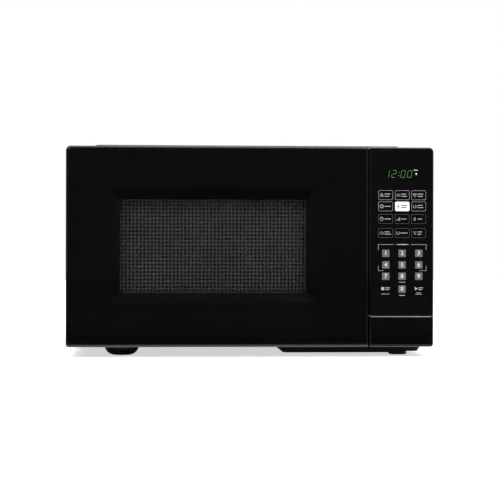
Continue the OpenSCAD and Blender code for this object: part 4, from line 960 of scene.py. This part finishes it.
@dataclass
class Keypad(Assembly):
    """The printed film: outlined keys, number keys, bracket, stop and start marks and the lit clock.

    Attributes:
        ink: Thickness of the print, which stands that much proud of the film.
        corner: Corner radius of the film.
        soft: Width of the film's softened edge.
        key_wide: Width of a cooking key.
        key_tall: Height of a cooking key.
        key_round: Corner radius of a cooking key.
        key_columns: Middles of the cooking keys' columns.
        key_rows: Middles of the cooking keys' rows, the upper two of which are printed light.
        line: Width of the printed outlines.
        pad: Side of a number key.
        pad_round: Corner radius of a number key.
        columns: Middles of the number columns.
        rows: Middles of the number rows.
        numeral_size: Type size of the numerals.
        bold: How much the numerals are thickened.
        bracket: Width of the bracket's lines.
        signs: Each cooking key's picture and bars, row by row.
    """

    ink: float = 0.04
    corner: float = 2.2
    soft: float = 0.04
    key_wide: float = 19.2
    key_tall: float = 12.5
    key_round: float = 1.8
    key_columns: Tuple[float, ...] = (178.5, 200.7, 222.6)
    key_rows: Tuple[float, ...] = (214.2, 199.3, 182.7, 164.1)
    line: float = 0.3
    pad: float = 9.8
    pad_round: float = 0.7
    columns: Tuple[float, ...] = (178.9, 200.6, 222.9)
    rows: Tuple[float, ...] = (137.3, 121.9, 106.9, 89.9)
    numeral_size: float = 7.5
    bold: float = 0.16
    bracket: float = 0.4
    signs: ClassVar[Tuple[Tuple[Sign, Tuple[float, ...]], ...]] = (
        (Sign.CORN, (7.5, 6.0)), (Sign.ROOT, (6.5, 7.5)), (Sign.SLICE, (7.5, 7.0)),
        (Sign.PLATE, (8.0,)), (Sign.FLAKE, (8.0, 7.0)), (Sign.CUP, (6.5, 7.5)),
        (Sign.CLOCK, (8.5,)), (Sign.STEPS, (7.0,)), (Sign.DROP, (6.0,)),
        (Sign.ROOT, (6.5, 8.5)), (Sign.CUP, (8.5,)), (Sign.SCALE, (6.0, 5.0)))

    def __post_init__(self) -> None:
        """Read the film's place from the frame, and lay out the cooking keys."""
        self.low, self.high = box_mm("keypad_overlay")
        self.face = self.low.y + self.ink
        places = [(x, z) for z in self.key_rows for x in self.key_columns]
        self.keys = [CookKey(x, z, sign, bars, z >= self.key_rows[1], sign is Sign.FLAKE)
                     for (x, z), (sign, bars) in zip(places, self.signs)]

    def put(self, piece: bpy.types.Object, finish: Finish) -> None:
        """Stand a flat print up on the film's face and hand it over."""
        piece.data.transform(upright(0, self.face, 0))
        self.shop.hand_over(piece, "keypad_film", "cabinet", finish=finish)

    def film(self) -> None:
        """Make the clear-coated film itself, with rounded corners and a softened edge."""
        low, high, deep = self.low, self.high, self.high.y - self.face
        model = Model("keypad_film_sheet")
        model.plate(high.x - low.x, high.z - low.z, self.corner)
        model.extrude(z=deep)
        model.pick(lambda p: p.z > (deep - 0.01) * MM, "FACE")
        bpy.ops.mesh.bevel(offset=self.soft * MM, affect="EDGES", segments=2)
        sheet = model.shell()
        sheet.data.transform(upright((low.x + high.x) / 2, high.y, (low.z + high.z) / 2))
        self.shop.hand_over(sheet, "keypad_film", "cabinet", "keypad_overlay")

    def key(self, name: str, wide: float, tall: float, corner: float, hollow: bool) -> bpy.types.Object:
        """Make one flat key with rounded corners.

        Args:
            name: Its name.
            wide: Its width.
            tall: Its height.
            corner: Its corner radius.
            hollow: Whether only its outline is printed.

        Returns:
            The print, flat and centred on the origin.
        """
        model = Model(name)
        model.plate(wide, tall, corner, 5)
        if hollow:
            bpy.ops.mesh.inset(thickness=self.line * MM)
            bpy.ops.mesh.delete(type="FACE")
            model.pick_all()
        model.extrude(z=self.ink if hollow else self.ink / 2)
        return model.shell()

    def cook_keys(self) -> None:
        """Print the twelve cooking keys: an outline modelled once and copied, and their marks."""
        outline = self.key("key_outline", self.key_wide, self.key_tall, self.key_round, True)
        solid = self.key("filled_key", self.key_wide, self.key_tall, self.key_round, False)
        for tag, light, finish in (("light", True, INK_LIGHT), ("dim", False, INK_DIM)):
            keys = [key for key in self.keys if key.light is light and not key.filled]
            places = [shift(key.x, key.z) for key in keys]
            self.put(repeated(outline, places, f"cook_key_outlines_{tag}"), finish)
            marks = [stroke for key in keys for stroke in key.strokes()]
            self.put(printed(f"cook_key_marks_{tag}", marks, self.ink), INK_LIGHT)
        bpy.data.objects.remove(outline)
        filled = next(key for key in self.keys if key.filled)
        solid.data.transform(shift(filled.x, filled.z))
        self.put(solid, INK_WHITE)
        mark = printed("filled_key_marks", filled.strokes(), self.ink / 2)
        mark.data.transform(shift(0, 0, self.ink / 2))
        self.put(mark, INK_BLACK)

    def number_keys(self) -> None:
        """Print the ten number keys: a pad modelled once and copied, with a numeral on each."""
        pad = self.key("number_pad", self.pad, self.pad, self.pad_round, False)
        places = [(x, z) for z in self.rows[:3] for x in self.columns] + [(self.columns[1], self.rows[3])]
        self.put(repeated(pad, [shift(x, z) for x, z in places], "number_pads"), INK_KEY)
        bpy.data.objects.remove(pad)
        numerals = [self.numeral(text, x, z) for text, (x, z) in zip("1234567890", places)]
        self.put(joined(numerals, "numerals"), INK_PALE)

    def numeral(self, text: str, x: float, z: float) -> bpy.types.Object:
        """Make one numeral as a thin flat mesh.

        Args:
            text: The numeral.
            x: Its middle, to the right.
            z: Its middle, upwards.

        Returns:
            The numeral in the flat drawing plane.
        """
        bpy.ops.object.select_all(action="DESELECT")
        bpy.ops.object.text_add()
        data = bpy.context.object.data
        data.body, data.size, data.align_x, data.align_y = text, self.numeral_size * MM, "CENTER", "CENTER"
        data.resolution_u, data.offset, data.extrude = 6, self.bold * MM, self.ink / 4 * MM
        bpy.ops.object.convert(target="MESH")
        made = bpy.context.object
        made.data.transform(shift(x, z, self.ink * 0.75))
        return made

    def frame_lines(self) -> None:
        """Print the bracket round the numbers and the stop, start and heading marks."""
        thin = self.bracket
        bracket = [dash(179.3, 148.9, 20.9, thin), dash(222.5, 148.9, 20.3, thin),
                   dash(168.9, 145.2, 7.4, thin, 90), dash(232.7, 145.2, 7.4, thin, 90),
                   dash(168.9, 117.4, 6.2, thin, 90), dash(232.7, 117.4, 6.2, thin, 90),
                   dash(172.5, 114.3, 7.2, thin), dash(228.1, 114.3, 9.2, thin)]
        heading = [wedge(193.5, 148.9, 0.9, turn=-90), dash(200.8, 148.9, 11.5, 1.1),
                   dot(208.2, 148.9, 0.7), dash(200.5, 99.0, 8.6, 0.6),
                   dash(200.5, 81.6, 8.2, 0.8)]
        stop = [dash(174.9, 90.5, 4.0, 4.0), dash(181.5, 91.6, 6.0, 0.9),
                dash(180.9, 89.3, 4.8, 0.9), dash(178.4, 83.4, 10.5, 0.6)]
        start = [wedge(219.0, 90.5, 2.6, turn=-90), dash(225.6, 91.6, 6.0, 0.9),
                 dash(225.0, 89.3, 4.8, 0.9), dash(222.6, 85.1, 6.0, 0.6),
                 dash(222.6, 83.2, 8.5, 0.6)]
        self.put(printed("bracket_lines", bracket, self.ink), INK_LIGHT)
        self.put(printed("heading_marks", heading, self.ink), INK_LIGHT)
        self.put(printed("stop_and_start_marks", stop + start, self.ink), INK_LIGHT)

    def build(self) -> None:
        """Make the film and everything printed on it."""
        self.film()
        self.cook_keys()
        self.number_keys()
        self.frame_lines()
        Clock(self.shop, self.face).build()


@dataclass
class Clock(Assembly):
    """The lit clock: four slanted seven-segment numerals with a colon, and three small signals.

    Attributes:
        face: Depth of the film's face.
        tall: Height of a numeral.
        wide: Width of a numeral.
        bar: Thickness of a segment.
        slant: Lean of the numerals in degrees.
        base: Height of their foot.
        starts: Left side of each numeral.
        short: How much shorter than its side a level segment is, and an upright one.
        ink: Thickness of the print.
        lit: The segments of each numeral.
    """

    face: float
    tall: float = 9.2
    wide: float = 5.2
    bar: float = 0.34
    slant: float = 9.0
    base: float = 237.6
    starts: Tuple[float, ...] = (177.2, 186.3, 198.4, 207.1)
    short: Tuple[float, float] = (0.9, 0.7)
    ink: float = 0.03
    lit: ClassVar[Dict[str, str]] = {"1": "bc", "2": "abged", "0": "abcdef"}

    def segment(self, name: str, left: float) -> Stroke:
        """One segment of a numeral.

        Args:
            name: Its letter, from a at the top round to g in the middle.
            left: The numeral's left side at its foot.

        Returns:
            The segment as a stroke.
        """
        half, quarter = self.tall / 2, self.tall / 4
        places = {"a": (0.5, self.tall), "g": (0.5, half), "d": (0.5, 0.0), "f": (0.0, 3 * quarter),
                  "b": (1.0, 3 * quarter), "e": (0.0, quarter), "c": (1.0, quarter)}
        across, rise = places[name]
        x = left + across * self.wide + rise * math.tan(math.radians(self.slant))
        if name in "agd":
            return dash(x, self.base + rise, self.wide - self.short[0], self.bar)
        return dash(x, self.base + rise, half - self.short[1], self.bar, 90.0 - self.slant)

    def build(self) -> None:
        """Light the numerals and the colon, and print the signals beside them."""
        digits = [self.segment(name, left)
                  for text, left in zip("1200", self.starts) for name in self.lit[text]]
        digits += [dot(195.7, self.base + 2.4, 0.45), dot(196.5, self.base + 6.6, 0.45)]
        signals = [wedge(217.3, 247.4, 1.2, 180), dot(219.2, 242.4, 1.1), dash(220.3, 247.2, 2.2, 0.7)]
        for name, strokes, slot, finish in (("clock_digits", digits, "display_dark", CLOCK_GREEN),
                                            ("clock_signals", signals, "keypad_film", INK_WHITE)):
            marks = printed(name, strokes, self.ink)
            marks.data.transform(upright(0, self.face, 0))
            self.shop.hand_over(marks, slot, "cabinet", finish=finish)


# ---- back


@dataclass
class CoverScrews(Assembly):
    """The cross-recessed pan-head screws that hold the wrap at the back.

    Attributes:
        radius: Radius of the head.
        head: Height of the head.
        shank: Radius of the shank.
        grip: Length of the shank.
        recess: Length of each arm pair of the cross.
        blade: Width of an arm.
        sink: Depth of the cross.
        drop: How far the middle screw of each side sits under the top one.
        sides: Sides of the turned shape.
        dome: Each step of the head's dome: its share of the height, and how far it narrows.
    """

    radius: float = 3.6
    head: float = 2.2
    shank: float = 1.6
    grip: float = 1.6
    recess: float = 3.8
    blade: float = 0.85
    sink: float = 1.3
    drop: float = 54.0
    sides: int = 28
    dome: ClassVar[Tuple[Tuple[float, float], ...]] = ((0.35, 1.0), (0.3, 0.95), (0.2, 0.88), (0.15, 0.74))

    def screw(self) -> bpy.types.Object:
        """Turn one screw, with a stepped dome and a cross cut into it.

        Returns:
            The screw, upright on the origin with its seat at nought.
        """
        model = Model("screw")
        model.disc(self.sides, self.shank)
        model.move(z=-self.grip)
        bpy.ops.mesh.select_mode(type="FACE")
        model.extrude(z=self.grip)
        model.extrude()
        flare = self.radius / self.shank
        model.size(flare, flare)
        for rise, narrow in self.dome:
            model.extrude(z=self.head * rise)
            model.size(narrow, narrow)
        screw = model.shell()
        for turn in (0.0, math.pi / 2):
            cutter = Model("screw_cross")
            bpy.ops.mesh.primitive_cube_add(size=1)
            cutter.size(self.recess * MM, self.blade * MM, 2 * self.sink * MM)
            cutter.turn(turn)
            cutter.move(z=self.head)
            model.modify("BOOLEAN", operation="DIFFERENCE", object=cutter.close(), solver="EXACT")
            bpy.data.objects.remove(cutter.piece)
        return screw

    def build(self) -> None:
        """Copy the screw to its five places, which come from the node's own box and the tray's middle."""
        left, low, right, top = self.shop.outline("cover_screws", -self.radius)
        tray = box_mm("glass_tray")
        places = [(x, z) for x in (left, right) for z in (low, top - self.drop)]
        places.append(((tray[0].x + tray[1].x) / 2, top))
        seat = box_mm("cover_screws")[1].y - self.head
        screw = self.screw()
        screws = repeated(screw, [facing_back(x, seat, z) for x, z in places], "cross_head_screws")
        bpy.data.objects.remove(screw)
        self.shop.hand_over(screws, "screw_zinc", "cabinet", "cover_screws")


@dataclass
class CoilSpring(Assembly):
    """A wound wire spring that fills a node's place.

    Attributes:
        node: The node that it stands for, whose box it fills.
        body: The body that carries its fixed end.
        joint: The joint that shortens it; not used.
        turns: How many turns it has.
        travel: How much it shortens at the joint's limit; not used.
        lying: Whether it lies along the depth, fixed at the back, and doesn't stand on its fixed end.
        wire: Radius of the wire.
        sides: Sides of the wire.
        steps: Steps of the wire in each turn.
    """

    node: str
    body: str
    joint: str
    turns: int
    travel: float
    lying: bool = False
    wire: float = 0.5
    sides: int = 10
    steps: int = 20

    def build(self) -> None:
        """Wind the wire, cap its ends and put it in its place."""
        low, high = box_mm(self.node)
        middle = (low + high) / 2
        length = high.y - low.y if self.lying else high.z - low.z
        model = Model(f"{self.node}_wire")
        model.disc(self.sides, self.wire, "NOTHING")
        model.turn(math.pi / 2, "X")
        model.move((high.x - low.x) / 2 - self.wire, 0, self.wire)
        model.close()
        model.modify("SCREW", axis="Z", angle=2 * math.pi, iterations=self.turns, steps=self.steps,
                     render_steps=self.steps, screw_offset=(length - 2 * self.wire) / self.turns * MM)
        model.reopen()
        bpy.ops.mesh.fill_holes(sides=self.sides)
        spring = model.shell()
        if self.lying:
            place, axis = facing_back(middle.x, low.y, middle.z), (0, 1, 0)
        else:
            place, axis = shift(middle.x, middle.y, low.z), (0, 0, 1)
        spring.data.transform(place)
        self.shop.hand_over(spring, "spring_steel", self.body, self.node)
        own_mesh(spring)


@dataclass
class BlankPlate(Assembly):
    """The bare foil plate on the rear panel, with an embossed border and nothing on it.

    Attributes:
        wide: Its width.
        tall: Its height.
        thick: Its thickness.
        corner: Its corner radius.
        border: Distance from its edge to the embossed line.
        slope: Width of each side of the embossed line.
        crest: Width of the line's top.
        rise: Height of the line.
        middle: Its middle, to the right and upwards.
        gap: Glue under it.
    """

    wide: float = 78.0
    tall: float = 46.0
    thick: float = 0.25
    corner: float = 5.0
    border: float = 2.0
    slope: float = 0.3
    crest: float = 0.5
    rise: float = 0.12
    middle: Tuple[float, float] = (20.0, 118.0)
    gap: float = 0.02

    def build(self) -> None:
        """Cut the plate, round its corners and raise its border."""
        model = Model("blank_plate")
        model.plate(self.wide, self.tall, self.corner)
        model.extrude(z=self.thick)
        for width, rise in ((self.border, 0.0), (self.slope, self.rise), (self.crest, 0.0),
                            (self.slope, -self.rise)):
            bpy.ops.mesh.inset(thickness=width * MM, depth=rise * MM)
        plate = model.shell()
        seat = box_mm("rear_panel")[1].y + self.gap
        plate.data.transform(facing_back(self.middle[0], seat, self.middle[1]))
        self.shop.hand_over(plate, "can_aluminium", "cabinet")


# ---- studio


@dataclass
class Studio:
    """A plain white studio in metres: a pale floor, three soft lamps, an even surround and the camera.

    Attributes:
        span: Side of the floor.
        drop: How far the floor lies under the feet, in millimetres.
        paper: The floor's tone.
        near: Where the floor fades from its tone to black in gloss, ahead of the oven.
        far: Where it starts to turn from black to dark again, and how quickly, and how dark.
        glint: Where the bright strip of floor under the front edge begins and ends in gloss.
        ramps: How steeply it begins and ends.
        shine: How bright it stands.
        white: The floor's glow to the eye near the oven.
        open: How far from the middle that glow starts to grow, and how quickly.
        flank: How quickly the surround brightens in gloss towards the oven's sides and overhead.
        reach: How far to the side or up a direction points, squared, where that begins.
        ambient: Even light of the surround.
        target: Where the lamps look.
        lens: Focal length in millimetres, on a 36 mm sensor.
        rise: Upward shift of the picture.
        stand: Where the camera stands.
        heading: Degrees that it is turned.
        roll: Degrees that it leans.
        lamps: Name, place, side and watts of each lamp.
    """

    span: float = 9.0
    drop: float = 0.2
    paper: float = 0.9
    near: Tuple[float, float] = (-0.2, -0.38)
    far: Tuple[float, float, float] = (-0.6, 2.0, 0.02)
    glint: Tuple[float, float] = (-0.232, -0.185)
    ramps: Tuple[float, float] = (40.0, 30.0)
    shine: float = 3.2
    white: float = 0.62
    open: Tuple[float, float] = (0.45, 1.4)
    flank: float = 5.0
    reach: float = 0.74
    ambient: float = 0.45
    target: Point = (0.0, 0.0, 0.14)
    lens: float = 120.59
    rise: float = -0.0129
    stand: Point = (-0.13384, -2.401, 0.14975)
    heading: float = -3.4538
    roll: float = 0.1211
    lamps: ClassVar[Tuple[Tuple[str, Point, float, float], ...]] = (
        ("left_softbox", (-0.97, -1.38, 1.55), 1.2, 21.0),
        ("right_softbox", (0.97, -1.38, 1.55), 1.2, 21.0),
        ("top_softbox", (0.05, -0.25, 2.1), 1.1, 26.0))

    def floor(self) -> None:
        """Lay the floor, which is white to the camera and still takes the oven's shadow."""
        model = Model("floor")
        model.plate(self.span / MM, self.span / MM)
        model.move(z=-self.drop)
        slab = model.close()
        slab.data.materials.append(self.floor_paper())

    def floor_paper(self) -> bpy.types.Material:
        """Make the floor's white paper, whose mirror image fades ahead of the oven.

        Returns:
            The floor's material.
        """
        material = bpy.data.materials.new("floor_white")
        material.use_nodes = True
        bench = Bench(material.node_tree)
        seen, shiny = bench.ray("Camera"), bench.ray("Glossy")
        place = bench.field("ShaderNodeTexCoord", "Object")
        away = bench.field("ShaderNodeVectorMath", 1, {"operation": "LENGTH"}, {0: place})
        depth = place.axes()[1]
        (whole, gone), (dark, growth, level) = self.near, self.far
        image = ((depth - gone) * (1 / (whole - gone))).kept() ** 1.6
        murk = level * (growth * (dark - depth)).kept()
        tone = self.paper - shiny * (1 - image) * (self.paper - murk)
        (begin, end), (rise, fall), (reach, pace) = self.glint, self.ramps, self.open
        strip = self.shine * (fall * (end - depth)).kept() * (rise * (depth - begin)).kept()
        strength = (self.white + (pace * (away - reach)).kept()) * seen + strip * shiny
        paper = bench.node("ShaderNodeBsdfDiffuse", None, {"Color": tone})
        glow = bench.node("ShaderNodeEmission", None, {"Strength": strength})
        both = bench.node("ShaderNodeAddShader", None, {0: paper.outputs[0], 1: glow.outputs[0]})
        bench.finish("ShaderNodeOutputMaterial", both)
        return material

    def surround(self) -> None:
        """Make the surround: white to the eye, even as light, and dark in front, to keep the gloss deep."""
        world = bpy.data.worlds.new("studio")
        bpy.context.scene.world = world
        world.use_nodes = True
        bench = Bench(world.node_tree)
        clear, shiny = (bench.ray("Camera") + bench.ray("Transmission")).kept(), bench.ray("Glossy")
        side, depth, rise = bench.field("ShaderNodeTexCoord", "Generated").axes()
        back = (0.5 + 0.5 * depth).kept() ** 2.0
        flank = (self.flank * (side * side - self.reach)).kept()
        crown = (self.flank * (rise.kept() * rise - self.reach)).kept()
        mirrored = (0.03 + 0.97 * back + flank + crown).kept()
        level = clear + (1 - clear) * (shiny * mirrored + (1 - shiny) * self.ambient)
        sky = bench.node("ShaderNodeBackground", None, {"Color": (1, 1, 1, 1), "Strength": level})
        bench.finish("ShaderNodeOutputWorld", sky)

    def placed(self, name: str, data: bpy.types.ID) -> bpy.types.Object:
        """Put a lamp's or camera's data into the scene."""
        made = bpy.data.objects.new(name, data)
        bpy.context.scene.collection.objects.link(made)
        return made

    def lamp(self, name: str, place: Point, side: float, watts: float) -> None:
        """Hang one soft square lamp that looks at the oven.

        Args:
            name: Its name.
            place: Where it hangs.
            side: Its side.
            watts: Its strength.
        """
        data = bpy.data.lights.new(name, "AREA")
        data.shape, data.size, data.energy = "SQUARE", side, watts
        made = self.placed(name, data)
        made.location = place
        made.rotation_mode = "QUATERNION"
        made.rotation_quaternion = (Vector(self.target) - Vector(place)).to_track_quat("-Z", "Y")

    def camera(self) -> None:
        """Set up the camera: a long lens a little left of the oven, turned slightly right."""
        data = bpy.data.cameras.new("camera")
        data.lens, data.sensor_width, data.shift_y = self.lens, 36.0, self.rise
        turns = ((math.radians(self.heading), "Z"), (math.pi / 2, "X"), (math.radians(self.roll), "Z"))
        heading, level, roll = (Matrix.Rotation(angle, 4, axis) for angle, axis in turns)
        made = self.placed("camera", data)
        made.matrix_world = Matrix.Translation(self.stand) @ (heading @ level @ roll)
        bpy.context.scene.camera = made

    def build(self) -> None:
        """Set the whole studio up."""
        self.camera()
        self.floor()
        self.surround()
        for lamp in self.lamps:
            self.lamp(*lamp)
        bpy.context.scene.view_settings.view_transform = "Standard"
        LOG.info("studio: floor, surround, three lamps and camera")


def main() -> None:
    """Build the studio, dress the nodes and make each piece in order."""
    logging.basicConfig(level=logging.INFO, format="%(message)s", force=True)
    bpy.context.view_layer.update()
    Studio().build()
    shop = PaintShop()
    shop.dress_nodes()
    for assembly in (DoorScreen(shop), Keypad(shop), CoverScrews(shop), BlankPlate(shop),
                     CoilSpring(shop, "latch_spring", "door", "latch_slide", 10, 4.0),
                     CoilSpring(shop, "button_spring", "cabinet", "button_press", 9, 4.5, lying=True)):
        assembly.build()


if __name__ == "__main__":
    main()
